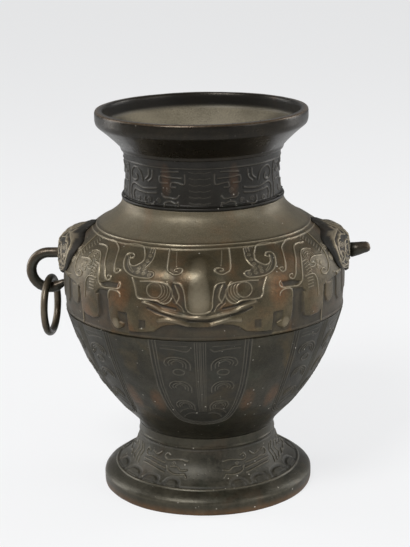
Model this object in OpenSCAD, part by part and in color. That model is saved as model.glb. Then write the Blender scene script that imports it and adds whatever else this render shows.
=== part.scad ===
// Cast bronze hu vase: a footed, round-bellied jar with two beast-mask handles.
// Origin: the vase's axis at the plane it stands on. Front faces -Y, left handle is on -X.

/* [Foot] */
// Radius of the foot where it stands
foot_r = 88.5; // [84:0.5:94]
// Width of the flat ring that the foot stands on
foot_edge_w = 6; // [4:0.5:9]
// Height of the plain upright edge of the foot
foot_edge_h = 9.5; // [7:0.5:12]
// Height of the rounded flange above the upright edge
flange_h = 7.5; // [5:0.5:10]
// How far the rounded flange steps in
flange_w = 9.5; // [8:0.5:13]
// How far in the foot's curve is pulled just above the flange
foot_pull_in = 22.5; // [18:0.5:26]
// How far above the flange that pull is
foot_pull_up = 10.5; // [8:0.5:13]
// How far outside the stem the foot's curve is pulled under the plain collar
stem_pull_out = 1.4; // [0.5:0.1:3]
// How far under the plain collar the foot's curve starts to close on the stem
stem_pull_down = 4.5; // [3:0.5:8]
// Radius of the stem at the top of the foot
stem_r = 57.2; // [54:0.2:60]
// Height of the foot up to its seam with the body
foot_h = 54.5; // [50:0.5:60]
// Height of the plain collar at the top of the foot
collar_h = 8; // [6:0.5:12]

/* [Body] */
// Thickness of the cast wall
wall = 3.2; // [2.6:0.1:4]
// How far the body stands outside the stem where it meets the foot
body_foot_out = 0.2; // [0.1:0.1:0.8]
// Height of the lower body casting
lower_h = 102; // [92:1:112]
// How far the lower body's wall rises upright before it spreads
lower_rise = 9; // [6:0.5:14]
// How far inside the waist radius the lower body's curve is pulled
lower_pull_in = 21; // [16:0.5:26]
// How far under the waist that pull is
lower_pull_down = 78; // [70:0.5:86]
// Radius at the waist seam between the body castings
waist_r = 115.8; // [112:0.2:120]
// Height of the upper body casting
upper_h = 91.5; // [86:0.5:100]
// Radius that the belly swells towards above the waist
belly_pull_r = 121.4; // [117:0.2:124]
// How much less the belly swells just under the shoulder
belly_ease = 10.5; // [6:0.5:14]
// Radius at the upper border of the ornament band
shoulder_r = 88; // [84:0.5:92]
// How far outside the neck the shoulder's curve is pulled
shoulder_pull_out = -0.6; // [-2:0.2:4]
// How far the shoulder ends outside the neck drum, as its seat
shoulder_end_out = 1.2; // [0.8:0.1:1.8]
// Height from that border up to the neck seam
shoulder_h = 21.3; // [18:0.1:24]

/* [Neck and mouth] */
// Radius of the neck drum at its ends
neck_r = 65.2; // [62:0.2:68]
// Height of the neck drum
neck_h = 40; // [34:0.5:46]
// How far the neck drum is drawn in at half height
neck_draw = 1.9; // [0.5:0.1:3.5]
// Height of the mouth casting
mouth_h = 32; // [28:0.5:38]
// How far outside the neck the mouth's flare is pulled
flare_pull_out = 4.5; // [3:0.5:7]
// Radius of the rim
rim_r = 87.2; // [84:0.2:92]
// Height of the upright band round the rim
rim_band_h = 12.3; // [9:0.1:15]
// Height over which that band rounds out from the flare
rim_under_h = 4; // [2:0.5:6]
// How far the flare ends inside the rim
flare_end_in = 2; // [1:0.5:4]
// Width of the bevel on the lip's edges
lip_round = 1; // [0.5:0.1:1.5]
// Thickness of the lip
lip_w = 6.6; // [5:0.1:8]

/* [Mouldings and seams] */
// How far the mouldings stand out
moulding_out = 1.9; // [1:0.1:2.5]
// Height of a moulding
moulding_h = 3.6; // [2.5:0.1:5]
// Height of the raised line above the waist seam
waist_line_h = 2; // [1.4:0.1:3]
// How far the raised waist line stands out
waist_line_out = 0.7; // [0.4:0.1:1.2]
// Depth that each casting's spigot drops into the one below
lap_h = 6; // [4:0.5:8]
// Thickness of a spigot
lap_wall = 2.5; // [2:0.1:3]
// Height of the bead that carries a spigot
bead_h = 3.5; // [2.5:0.5:5]
// Clearance between a spigot and its seat
lap_gap = 0.1; // [0.05:0.05:0.2]

/* [Base plate] */
// Thickness of the plate that closes the body
plate_t = 3.5; // [2.5:0.5:5]
// Thickness of the ledge that carries the plate
ledge_t = 3; // [2:0.5:4]
// Width of that ledge
ledge_w = 6; // [4:0.5:8]

/* [Beast masks] */
// Width of a mask from ear to ear
mask_w = 88; // [80:1:94]
// Height of a mask from tab to chin
mask_h = 44.4; // [40:0.2:47]
// Depth from the neck seam down to a mask's middle
mask_drop = 43.7; // [42:0.1:46]
// Thickness of a mask at its brow
mask_brow_t = 6.8; // [5:0.1:8]
// Thickness of a mask at the top of its tab
mask_tab_t = 3.8; // [3:0.1:6]
// Thickness of a mask at its chin
mask_chin_t = 2; // [1.6:0.1:3.5]
// Radius of the mask's mouth, the boss that a loop is seated on
snout_r = 8; // [7.4:0.1:9.5]
// How far the mouth stands out from the mask round it
snout_out = 0.8; // [0.5:0.1:2]
// Clearance between a mask and the wall
mask_gap = 0.1; // [0.05:0.05:0.3]
// Radius of a mask's rivets
rivet_r = 2; // [1.5:0.1:2.5]
// Radius of a rivet's head inside the wall
rivet_head_r = 4; // [3:0.1:5]
// Thickness of a rivet's head
rivet_head_t = 1.6; // [1:0.1:2.5]
// Clearance between a rivet's flat head and the curved wall behind it
rivet_seat_gap = 0.5; // [0.3:0.1:0.8]
// Depth of a rivet in its mask
rivet_depth = 3; // [2:0.1:3.5]
// Angle round the vase between a mask's middle and each rivet
rivet_angle = 15; // [12:0.5:18]
// Clearance round a rivet or a tenon
pin_gap = 0.05; // [0.02:0.01:0.1]

/* [Loops and ring] */
// Radius of the loop's centre line
loop_r = 15.1; // [14:0.1:17]
// Radius of the loop's rod
rod_r = 4.35; // [3.8:0.05:4.8]
// Distance from the wall out to the loop's centre
loop_out = 12.7; // [10.2:0.1:14]
// Depth from the mask's middle down to the loop's centre
loop_drop = 19.7; // [18.5:0.1:21]
// Radius of the loop's tenon where it passes through the wall
tenon_r = 3.4; // [2.8:0.1:3.8]
// How far a tenon comes through the wall inside
tenon_out = 3; // [2.4:0.1:4]
// How far the tenon's hammered head stands out round it
tenon_head_out = 1.6; // [1:0.1:2]
// Thickness of the tenon's hammered head
tenon_head_t = 1.6; // [1:0.1:2]
// Radius of the loop's tail where it enters the wall
tail_r = 2.6; // [2:0.1:3.2]
// Depth of the tail's socket in the wall
tail_depth = 1.8; // [1:0.1:2.4]
// Radius of the ring's centre line
ring_r = 23.1; // [20:0.1:25]
// Radius of the ring's rod
ring_rod_r = 3.15; // [2.6:0.05:3.6]
// Clearance between the ring and the loop that it hangs on
ring_gap = 0.25; // [0.1:0.05:0.5]
// Turn of the hanging ring about the upright, as it came to rest
ring_turn = 7; // [0:1:12]
// Radius of the broken loop at its root
stub_root_r = 6.6; // [5.5:0.1:7.2]
// Radius of the broken loop at its end
stub_end_r = 4.6; // [4:0.1:5.2]
// Distance from the wall out to the middle of the broken loop's round end
stub_reach = 18.2; // [16:0.2:22]
// Rise of the broken loop from its root to its end
stub_rise = 2.3; // [1:0.1:4]

/* [Hidden] */
$fn = 96;

// Heights of the seams, stacked up from the ground
waist_z = foot_h + lower_h;
neck_z = waist_z + upper_h;
mouth_z = neck_z + neck_h;
rim_z = mouth_z + mouth_h;
shoulder_z = neck_z - shoulder_h;

// Steps along one curve of the outline
curve_steps = 10;
// Overlap that joins two solids of one casting
weld = 0.5;
// A straight length of rod bites this far into the bend it leaves, this much inside its skin
bite = 0.2;
skin = 0.02;
// Reach of a cutting tool past the face that it starts from
over = 1;

// A point on a Bezier curve through the control points p
function bezier3(p, t) = pow(1 - t, 3) * p[0] + 3 * t * pow(1 - t, 2) * p[1]
    + 3 * t * t * (1 - t) * p[2] + pow(t, 3) * p[3];
function bezier2(p, t) = pow(1 - t, 2) * p[0] + 2 * t * (1 - t) * p[1] + t * t * p[2];
function curve3(p) = [for (i = [0 : curve_steps]) bezier3(p, i / curve_steps)];
function curve2(p) = [for (i = [0 : curve_steps]) bezier2(p, i / curve_steps)];
function reversed(list) = [for (i = [len(list) - 1 : -1 : 0]) list[i]];
function without_first(list) = [for (i = [1 : len(list) - 1]) list[i]];

// Slope of an outline, radius over height, at its point i
function slope_at(pts, i) =
    let (a = pts[max(i - 1, 0)], b = pts[min(i + 1, len(pts) - 1)])
    (b[0] - a[0]) / (b[1] - a[1]);
// The inside of a wall of thickness t behind an outline, point for point
function inside_of(pts, t) =
    [for (i = [0 : len(pts) - 1]) [pts[i][0] - t * sqrt(1 + pow(slope_at(pts, i), 2)), pts[i][1]]];
// Radius of an outline at height z
function radius_at(pts, z) = lookup(z, [for (p = pts) [p[1], p[0]]]);

// Outlines of the castings, as [radius, height] from the bottom up
body_foot_r = stem_r + body_foot_out;
flange_z = foot_edge_h + flange_h;
flange_in_r = foot_r - flange_w;
collar_z = foot_h - collar_h;
foot_curve = curve3([[flange_in_r, flange_z], [flange_in_r - foot_pull_in, flange_z + foot_pull_up],
                     [stem_r + stem_pull_out, collar_z - stem_pull_down], [stem_r, collar_z]]);
foot_out = concat(foot_curve, [[stem_r, foot_h]]);
lower_out = curve3([[body_foot_r, foot_h], [body_foot_r, foot_h + lower_rise],
                    [waist_r - lower_pull_in, waist_z - lower_pull_down], [waist_r, waist_z]]);
belly_h = shoulder_z - waist_z;
upper_out = concat(
    curve3([[waist_r, waist_z], [belly_pull_r, waist_z + 0.855 * belly_h],
            [belly_pull_r - belly_ease, shoulder_z - 0.236 * belly_h], [shoulder_r, shoulder_z]]),
    without_first(curve2([[shoulder_r, shoulder_z],
                          [neck_r + shoulder_pull_out, shoulder_z + 0.627 * shoulder_h],
                          [neck_r + shoulder_end_out, neck_z]])));
neck_out = curve2([[neck_r, neck_z], [neck_r - 2 * neck_draw, neck_z + neck_h / 2], [neck_r, mouth_z]]);
rim_low_z = rim_z - rim_band_h;
flare_out = curve2([[neck_r, mouth_z], [neck_r + flare_pull_out, mouth_z + 0.35 * (mouth_h - rim_band_h)],
                    [rim_r - flare_end_in, rim_low_z]]);

upper_in = inside_of(upper_out, wall);
lower_in = inside_of(lower_out, wall);
neck_in = inside_of(neck_out, wall);
foot_in = inside_of(foot_curve, wall);
flare_in = inside_of(flare_out, wall);

// Outer radius of each spigot: it fits the narrowest place of its seat
waist_lap_r = radius_at(lower_in, waist_z - lap_h) - lap_gap;
neck_seat_r = [for (share = [0 : 0.125 : 1]) radius_at(upper_in, neck_z - share * lap_h)];
neck_lap_r = min(neck_seat_r) - lap_gap;
mouth_lap_r = radius_at(neck_in, mouth_z - lap_h) - lap_gap;
foot_lap_r = stem_r - wall - lap_gap;

// The plate lies under the body's spigot, on the foot's ledge
plate_top_z = foot_h - lap_h - lap_gap;
ledge_z = plate_top_z - plate_t;

// Places of the masks and loops
mask_z = neck_z - mask_drop;
loop_z = mask_z - loop_drop;
loop_x = radius_at(upper_out, loop_z) + loop_out;
root_z = loop_z + loop_r;
ring_top_z = loop_z - loop_r + rod_r + ring_gap + ring_rod_r;
ring_z = ring_top_z - ring_r;
// The tail leaves the loop's circle at this angle past the lowest point, and runs straight to the wall
tail_angle = 28;
tail_cone_r = tail_r + 0.3;
tail_wall_x = radius_at(upper_out, loop_z - 0.7 * loop_r);
tail_start = [loop_x - loop_r * sin(tail_angle), loop_z - loop_r * cos(tail_angle)];
tail_end_x = tail_wall_x + tail_cone_r * sin(tail_angle) + 0.2;
tail_run = (tail_start[0] - tail_end_x) / cos(tail_angle);
tail_z = tail_start[1] + tail_run * sin(tail_angle);
// Thickness of a mask at height z: it grows from the chin up to the brow, and thins towards the tab
chin_z = mask_z - mask_h / 2;
brow_z = mask_z + 0.15 * mask_h;
tab_z = mask_z + mask_h / 2;
function mask_t(z) = z > brow_z
    ? mask_brow_t - pow((z - brow_z) / (tab_z - brow_z), 2) * (mask_brow_t - mask_tab_t)
    : mask_chin_t + max(0, (z - chin_z) / (brow_z - chin_z)) * (mask_brow_t - mask_chin_t);
// Flat front of the mask's mouth, where a loop is seated
snout_x = radius_at(upper_out, root_z) + mask_gap + mask_t(root_z) + snout_out;
// Distance from the axis past everything that a mask covers
mask_reach = max(waist_r, belly_pull_r) + 3 * mask_brow_t;
// Half of a mask's outline, as shares of its half width and half height
mask_shape = [[0, 1], [0.13, 0.99], [0.21, 0.84], [0.36, 0.74], [0.6, 0.68], [0.82, 0.58], [0.96, 0.38],
              [1, 0.08], [0.95, -0.26], [0.8, -0.5], [0.58, -0.62], [0.36, -0.68], [0.22, -0.78],
              [0.13, -0.93], [0.05, -1], [0, -1]];

// Turns an outline into a casting
module turned(pts) {
    rotate_extrude() polygon(pts);
}

// Ring-shaped tool or bead between two radii and two heights
module band(r_in, r_out, z_low, z_high) {
    difference() {
        translate([0, 0, z_low]) cylinder(r = r_out, h = z_high - z_low);
        translate([0, 0, z_low - over]) cylinder(r = r_in, h = z_high - z_low + 2 * over);
    }
}

// Rounded moulding that runs round a casting whose own radius is r
module moulding(r, z_low, height, out) {
    turned([[r - weld, z_low], [r + 0.7 * out, z_low], [r + out, z_low + 0.3 * height],
            [r + out, z_low + 0.7 * height], [r + 0.7 * out, z_low + height], [r - weld, z_low + height]]);
}

// Spigot under the seam at z, with the bead that joins it to its casting
module spigot(r_lap, r_joined, z) {
    band(r_lap - lap_wall, r_lap, z - lap_h, z + weld);
    band(r_lap - lap_wall, r_joined, z, z + bead_h);
}

// Moves its children to the wall, at an angle round the vase and a height, with +X outward
module on_wall(angle, z) {
    slope = (radius_at(upper_out, z + 1) - radius_at(upper_out, z - 1)) / 2;
    rotate([0, 0, angle]) translate([radius_at(upper_out, z), 0, z]) rotate([0, atan(slope), 0]) children();
}

// Round bar along +X
module bar(r, x_low, x_high) {
    translate([x_low, 0, 0]) rotate([0, 90, 0]) cylinder(r = r, h = x_high - x_low);
}

module rivet_holes(side) {
    for (turn = [-rivet_angle, rivet_angle])
        on_wall(90 - side * 90 + turn, mask_z)
            bar(rivet_r + pin_gap, -wall - 2 * over, mask_gap + rivet_depth + pin_gap);
}

module tenon_hole(side) {
    translate([0, 0, root_z]) rotate([0, 0, 90 - side * 90])
        bar(tenon_r + pin_gap, radius_at(upper_in, root_z) - tenon_out, loop_x);
}

module tail_socket() {
    translate([0, 0, tail_z]) rotate([0, 0, 180])
        bar(tail_r + pin_gap, tail_wall_x - tail_depth - pin_gap, loop_x);
}

module mouth_rim() {
    color([0.22, 0.19, 0.15]) {
        turned(concat(flare_out,
                      [[rim_r - 0.2 * rim_under_h, rim_low_z + 0.3 * rim_under_h],
                       [rim_r, rim_low_z + rim_under_h], [rim_r, rim_z - lip_round],
                       [rim_r - lip_round, rim_z], [rim_r - lip_w + lip_round, rim_z],
                       [rim_r - lip_w, rim_z - lip_round],
                       [rim_r - lip_w, rim_low_z + lip_round]],
                      reversed(flare_in)));
        moulding(neck_r, mouth_z, moulding_h, moulding_out);
        spigot(mouth_lap_r, neck_r - wall + weld, mouth_z);
    }
}

module neck_collar() {
    color([0.2, 0.18, 0.14]) {
        turned(concat(neck_out, reversed(neck_in)));
        moulding(neck_r, neck_z, moulding_h, moulding_out);
        spigot(neck_lap_r, neck_r - wall + weld, neck_z);
    }
}

module upper_body() {
    color([0.36, 0.32, 0.22]) difference() {
        union() {
            turned(concat(upper_out, reversed(upper_in)));
            moulding(waist_r, waist_z, waist_line_h, waist_line_out);
            spigot(waist_lap_r, waist_r - wall + weld, waist_z);
        }
        for (side = [-1, 1]) {
            rivet_holes(side);
            tenon_hole(side);
        }
        tail_socket();
    }
}

module lower_body() {
    color([0.27, 0.26, 0.2]) {
        turned(concat(lower_out, reversed(lower_in)));
        spigot(foot_lap_r, body_foot_r - wall + weld, foot_h);
    }
}

module foot_ring() {
    color([0.29, 0.28, 0.21]) {
        turned(concat([[foot_r - foot_edge_w, 0], [foot_r - 0.5, 0], [foot_r, 0.5], [foot_r, foot_edge_h]],
                      curve2([[foot_r, foot_edge_h], [foot_r - 1, foot_edge_h + 0.5 * flange_h],
                              [flange_in_r, flange_z]]),
                      without_first(foot_out),
                      [[stem_r - wall, foot_h]],
                      reversed(foot_in),
                      [[foot_r - foot_edge_w, foot_edge_h - 2]]));
        band(stem_r - wall - ledge_w, stem_r - wall + weld, ledge_z - ledge_t, ledge_z);
    }
}

module base_plate() {
    color([0.3, 0.27, 0.2])
        translate([0, 0, ledge_z]) cylinder(r = foot_lap_r, h = plate_t);
}

// Plaque that follows the wall, cut to the mask's outline, with the mouth as a boss
module mask(side) {
    outline = [for (p = mask_shape) [p[0] * mask_w / 2, p[1] * mask_h / 2]];
    mirrored = [for (i = [len(outline) - 2 : -1 : 1]) [-outline[i][0], outline[i][1]]];
    back = [for (p = upper_out) [p[0] + mask_gap, p[1]]];
    front = [for (i = [0 : len(upper_out) - 1])
        [back[i][0] + mask_t(back[i][1]) * sqrt(1 + pow(slope_at(upper_out, i), 2)), back[i][1]]];
    color([0.33, 0.29, 0.2]) difference() {
        union() {
            intersection() {
                turned(concat(front, reversed(back)));
                translate([0, 0, mask_z]) rotate([90, 0, side * 90])
                    linear_extrude(height = mask_reach) polygon(concat(outline, mirrored));
            }
            rotate([0, 0, 90 - side * 90]) translate([0, 0, root_z])
                bar(snout_r, radius_at(upper_out, root_z) + 0.6 * mask_t(root_z), snout_x);
        }
        rivet_holes(side);
        tenon_hole(side);
    }
}

module left_mask() { mask(-1); }
module right_mask() { mask(1); }

// Rivets from inside the wall, each blind in the mask
module mask_rivets(side) {
    color([0.4, 0.33, 0.2])
        for (turn = [-rivet_angle, rivet_angle])
            on_wall(90 - side * 90 + turn, mask_z) {
                bar(rivet_r, -wall - rivet_seat_gap - weld, mask_gap + rivet_depth);
                bar(rivet_head_r, -wall - rivet_seat_gap - rivet_head_t, -wall - rivet_seat_gap);
            }
}

module left_mask_rivets() { mask_rivets(-1); }
module right_mask_rivets() { mask_rivets(1); }

// Tenon of a loop through mask and wall, with its hammered head inside
module loop_tenon() {
    x_in = radius_at(upper_in, root_z) - tenon_out;
    head_x = x_in - tenon_head_t - 4 * mask_gap;
    bar(tenon_r, x_in - weld, snout_x + weld);
    bar(tenon_r + tenon_head_out, head_x, head_x + tenon_head_t);
}

module left_loop() {
    reach = 3 * loop_r;
    color([0.24, 0.22, 0.18]) rotate([0, 0, 180]) {
        translate([loop_x, 0, loop_z]) rotate([90, 0, 0]) difference() {
            rotate_extrude() translate([loop_r, 0]) circle(r = rod_r);
            linear_extrude(height = reach, center = true)
                polygon([[0, 0], [0, reach], [-reach, reach], [-reach, -reach / tan(tail_angle)]]);
        }
        translate([tail_start[0], 0, tail_start[1]]) rotate([0, tail_angle - 90, 0])
            translate([0, 0, -bite]) cylinder(r1 = rod_r - skin, r2 = tail_cone_r, h = tail_run + bite);
        translate([0, 0, tail_z]) bar(tail_r, tail_wall_x - tail_depth, tail_end_x + 0.8);
        translate([0, 0, root_z]) {
            bar(rod_r - skin, snout_x, loop_x + bite);
            loop_tenon();
        }
    }
}

// Loop of the other handle, broken off a little way out from its root
module right_loop_stub() {
    root_x = radius_at(upper_out, root_z);
    stub_end = [root_x + stub_reach, root_z + stub_rise];
    run = stub_end - [root_x, root_z];
    color([0.24, 0.22, 0.18]) {
        difference() {
            union() {
                translate([root_x, 0, root_z]) rotate([0, 90 - atan2(run[1], run[0]), 0])
                    cylinder(r1 = stub_root_r, r2 = stub_end_r, h = norm(run));
                translate([stub_end[0], 0, stub_end[1]]) sphere(r = stub_end_r + skin);
            }
            translate([0, 0, root_z]) bar(3 * stub_root_r, 0, snout_x);
            // The ragged step of the break, under the end
            translate([stub_end[0] + 0.5, -stub_root_r, stub_end[1] - 2 * stub_end_r]) rotate([0, -28, 0])
                cube([2 * stub_end_r, 2 * stub_root_r, 1.2 * stub_end_r]);
        }
        translate([0, 0, root_z]) loop_tenon();
    }
}

module left_ring() {
    color([0.26, 0.24, 0.18])
        translate([-loop_x, 0, ring_z]) rotate([0, 0, -ring_turn]) rotate([0, 90, 0])
            rotate_extrude() translate([ring_r, 0]) circle(r = ring_rod_r, $fn = 48);
}

mouth_rim();
neck_collar();
upper_body();
lower_body();
foot_ring();
base_plate();
left_mask();
right_mask();
left_mask_rivets();
right_mask_rivets();
left_loop();
right_loop_stub();
left_ring();
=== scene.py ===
import math
import bpy
import numpy as np
from mathutils import Matrix, Vector


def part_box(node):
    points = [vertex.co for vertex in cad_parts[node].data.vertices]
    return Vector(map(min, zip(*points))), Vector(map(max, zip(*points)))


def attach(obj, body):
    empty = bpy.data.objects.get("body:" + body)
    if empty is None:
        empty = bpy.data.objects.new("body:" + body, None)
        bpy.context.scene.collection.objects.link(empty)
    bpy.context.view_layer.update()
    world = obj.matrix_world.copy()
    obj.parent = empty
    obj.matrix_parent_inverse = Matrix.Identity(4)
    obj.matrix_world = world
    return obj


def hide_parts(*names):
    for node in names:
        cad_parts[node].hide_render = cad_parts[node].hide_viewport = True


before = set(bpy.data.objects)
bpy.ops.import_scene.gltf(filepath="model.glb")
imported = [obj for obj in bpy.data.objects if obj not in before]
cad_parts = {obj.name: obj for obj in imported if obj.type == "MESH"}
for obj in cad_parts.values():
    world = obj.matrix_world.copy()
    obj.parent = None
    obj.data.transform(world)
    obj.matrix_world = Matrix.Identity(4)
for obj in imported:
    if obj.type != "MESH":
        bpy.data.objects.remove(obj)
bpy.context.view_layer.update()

# Lengths below are in millimetres and angles in degrees, unless a name says otherwise
MM = 0.001
QUARTER = 90
FULL_TURN = 360
MOST_OF_A_TURN = 300
# Spacing of the points on the carved walls, and on the mouth's outside
CARVED_STEP = 0.55
PLAIN_STEP = 0.6
# Thickness of the cast wall behind the carving
WALL = 3.2


# Camera and light

CAMERA_DISTANCE = 1291.7
CAMERA_HEIGHT = 526.8
CAMERA_PITCH = 15.02
CAMERA_ROLL = -1.057
CAMERA_AZIMUTH = 2.2
LENS = 105.2
SENSOR_WIDTH = 36
SHIFT = 0.0012
# Lamps in metres and watts: place, width, height and power
LAMP_TARGET = (0, 0, 0.17)
SOFTBOXES = {
    "key_softbox": ((-0.8, -1.4, 2.0), 0.8, 0.8, 36),
    "fill_softbox": ((1.7, -1.0, 0.9), 0.9, 1.2, 9),
    "rim_left": ((-1.8, 0.6, 0.7), 0.7, 1.6, 16),
    "rim_right": ((1.8, 0.8, 0.8), 0.7, 1.6, 16)}
SKY_LIGHT = (0.8, 0.81, 0.82)
SKY_STRENGTH = 0.34
SKY_SEEN = (0.885, 0.89, 0.895)
FLOOR_HALF = 30
FLOOR_PAINT = (0.86, 0.86, 0.86)
FLOOR_SEEN = (0.96, 0.965, 0.975)
FLOOR_SEEN_SHARE = 0.74


def add_camera():
    turn = math.radians(CAMERA_AZIMUTH)
    pitch = math.radians(CAMERA_PITCH)
    data = bpy.data.cameras.new("camera")
    data.lens = LENS
    data.sensor_width = SENSOR_WIDTH
    data.shift_x = SHIFT
    camera = bpy.data.objects.new("camera", data)
    bpy.context.scene.collection.objects.link(camera)
    aim = Matrix.Rotation(turn, 4, "Z") @ Matrix.Rotation(math.pi / 2 - pitch, 4, "X")
    aim = aim @ Matrix.Rotation(math.radians(CAMERA_ROLL), 4, "Z")
    back = math.cos(turn) * CAMERA_DISTANCE
    place = Vector((math.sin(turn) * CAMERA_DISTANCE, -back, CAMERA_HEIGHT)) * MM
    camera.matrix_world = Matrix.Translation(place) @ aim
    bpy.context.scene.camera = camera


def add_lights():
    for name, (place, width, height, power) in SOFTBOXES.items():
        data = bpy.data.lights.new(name, "AREA")
        data.shape = "RECTANGLE"
        data.size = width
        data.size_y = height
        data.energy = power
        lamp = bpy.data.objects.new(name, data)
        bpy.context.scene.collection.objects.link(lamp)
        lamp.location = place
        lamp.rotation_euler = (Vector(LAMP_TARGET) - Vector(place)).to_track_quat("-Z", "Y").to_euler()


# Node trees

class Nodes:
    """A node tree, with one method that makes any node in it."""

    def __init__(self, tree):
        self.tree = tree
        self.tree.nodes.clear()

    def node(self, kind, settings=None, **sockets):
        """A node with its settings, then its inputs by name, or by number as i0, i1 and so on."""
        made = self.tree.nodes.new(kind)
        for key, value in (settings or {}).items():
            setattr(made, key, value)
        for key, value in sockets.items():
            self.feed(self.socket(made, key), value)
        return made

    @staticmethod
    def socket(made, key):
        label = key.replace("_", " ")
        for entry in made.inputs:
            if entry.enabled and entry.name.lower() == label.lower():
                return entry
        return made.inputs[int(key[1:])]

    def feed(self, entry, value):
        if isinstance(value, Value):
            self.tree.links.new(value.out, entry)
        elif hasattr(value, "links"):
            self.tree.links.new(value, entry)
        elif hasattr(entry.default_value, "__len__") and len(entry.default_value) == 4 and len(value) == 3:
            entry.default_value = (*value, 1)
        else:
            entry.default_value = value

    def value(self, made, name=0):
        return Value(self, made.outputs[name])


class Shader(Nodes):
    """A material's node tree."""

    def __init__(self, name):
        self.material = bpy.data.materials.new(name)
        self.material.use_nodes = True
        super().__init__(self.material.node_tree)

    def attribute(self, name):
        return self.value(self.node("ShaderNodeAttribute", {"attribute_name": name}), "Fac")

    def noise(self, place, size, detail=4, roughness=0.55, distortion=0.0):
        """Cloudy pattern from 0 to 1 whose patches are about size millimetres across."""
        made = self.node("ShaderNodeTexNoise", {}, Vector=place, Scale=1 / (size * MM), Detail=detail,
                         Roughness=roughness, Distortion=distortion)
        return self.value(made, "Fac")

    def specks(self, place, size, share):
        """1 on round specks that fill a share of cells of that size, fading at their edges."""
        cells = self.node("ShaderNodeTexVoronoi", {}, Vector=place, Scale=1 / (size * MM), Randomness=1.0)
        near = self.value(cells, "Distance")
        pick = self.node("ShaderNodeSeparateColor", {}, Color=cells.outputs["Color"])
        chosen = self.value(pick, "Red").below(share, 0.01)
        return chosen * near.below(0.22, 0.1)

    def mix(self, share, low, high):
        """The colour low where share is 0, and high where it is 1."""
        made = self.node("ShaderNodeMix", {"data_type": "RGBA"}, i0=share, i6=low, i7=high)
        return made.outputs[2]


class Value:
    """A number that varies over a surface. Sums and products of it become Math nodes."""

    def __init__(self, nodes, out):
        self.nodes = nodes
        self.out = out

    def maths(self, operation, first, second, clamp=False):
        made = self.nodes.node("ShaderNodeMath", {"operation": operation, "use_clamp": clamp},
                               i0=first, i1=second)
        return Value(self.nodes, made.outputs[0])

    def __add__(self, other):
        return self.maths("ADD", self, other)

    def __sub__(self, other):
        return self.maths("SUBTRACT", self, other)

    def __mul__(self, other):
        return self.maths("MULTIPLY", self, other)

    def __rsub__(self, other):
        return self.maths("SUBTRACT", other, self)

    __radd__ = __add__
    __rmul__ = __mul__

    def clamped(self):
        return self.maths("ADD", self, 0.0, clamp=True)

    def above(self, edge, soft):
        """0 under edge - soft, 1 over edge + soft."""
        return ((self - (edge - soft)) * (0.5 / soft)).clamped()

    def below(self, edge, soft):
        return 1 - self.above(edge, soft)


# Bronze finishes: colours, how rough, how metallic, and the shares that patches, dust and specks take

FINISHES = {
    "body_bronze": dict(
        ground=(0.115, 0.09, 0.05), dark=(0.05, 0.04, 0.022), warm=(0.125, 0.064, 0.026),
        green=(0.066, 0.064, 0.04), worn=(0.34, 0.29, 0.2), roughness=0.36, speck_share=0.012),
    "lower_bronze": dict(
        ground=(0.052, 0.046, 0.031), dark=(0.022, 0.02, 0.013), warm=(0.095, 0.066, 0.026),
        green=(0.042, 0.05, 0.034), worn=(0.12, 0.107, 0.08), roughness=0.38, warm_share=0.35,
        speck_share=0.03),
    "neck_bronze": dict(
        ground=(0.024, 0.02, 0.014), dark=(0.012, 0.0105, 0.0075), warm=(0.06, 0.028, 0.011),
        green=(0.026, 0.028, 0.019), worn=(0.075, 0.066, 0.05), roughness=0.36, warm_share=0.25,
        speck_share=0.01),
    "rim_bronze": dict(
        ground=(0.024, 0.0185, 0.011), dark=(0.011, 0.009, 0.006), warm=(0.05, 0.026, 0.012),
        green=(0.02, 0.021, 0.014), worn=(0.17, 0.11, 0.06), roughness=0.3, warm_share=0.25,
        speck_share=0.004),
    "foot_bronze": dict(
        ground=(0.038, 0.034, 0.022), dark=(0.017, 0.016, 0.01), warm=(0.07, 0.038, 0.018),
        green=(0.034, 0.04, 0.026), worn=(0.13, 0.114, 0.08), roughness=0.34, warm_share=0.3, dust=0.22,
        speck_share=0.03),
    "mask_bronze": dict(
        ground=(0.06, 0.05, 0.032), dark=(0.02, 0.018, 0.012), warm=(0.1, 0.06, 0.032),
        green=(0.035, 0.038, 0.026), worn=(0.36, 0.3, 0.2), roughness=0.42),
    "handle_bronze": dict(
        ground=(0.05, 0.047, 0.036), dark=(0.024, 0.023, 0.017), warm=(0.07, 0.035, 0.022),
        green=(0.04, 0.048, 0.032), worn=(0.2, 0.16, 0.11), roughness=0.34, speck_share=0.006),
    "ring_bronze": dict(
        ground=(0.065, 0.063, 0.045), dark=(0.03, 0.03, 0.02), warm=(0.07, 0.045, 0.03),
        green=(0.05, 0.06, 0.04), worn=(0.2, 0.17, 0.12), roughness=0.36, speck_share=0.004)}
ORANGE_BROWN = (0.17, 0.078, 0.03)
# Pale dust colour, also used for a painted top light on the shoulder
DUST_AND_TOP_LIGHT_COLOUR = (0.22, 0.19, 0.13)
PALE_SPECK = (0.62, 0.58, 0.49)
GREEN_SHARE = 0.35
BARE_METAL = 0.62
PIT_DEPTH = 0.3


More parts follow.
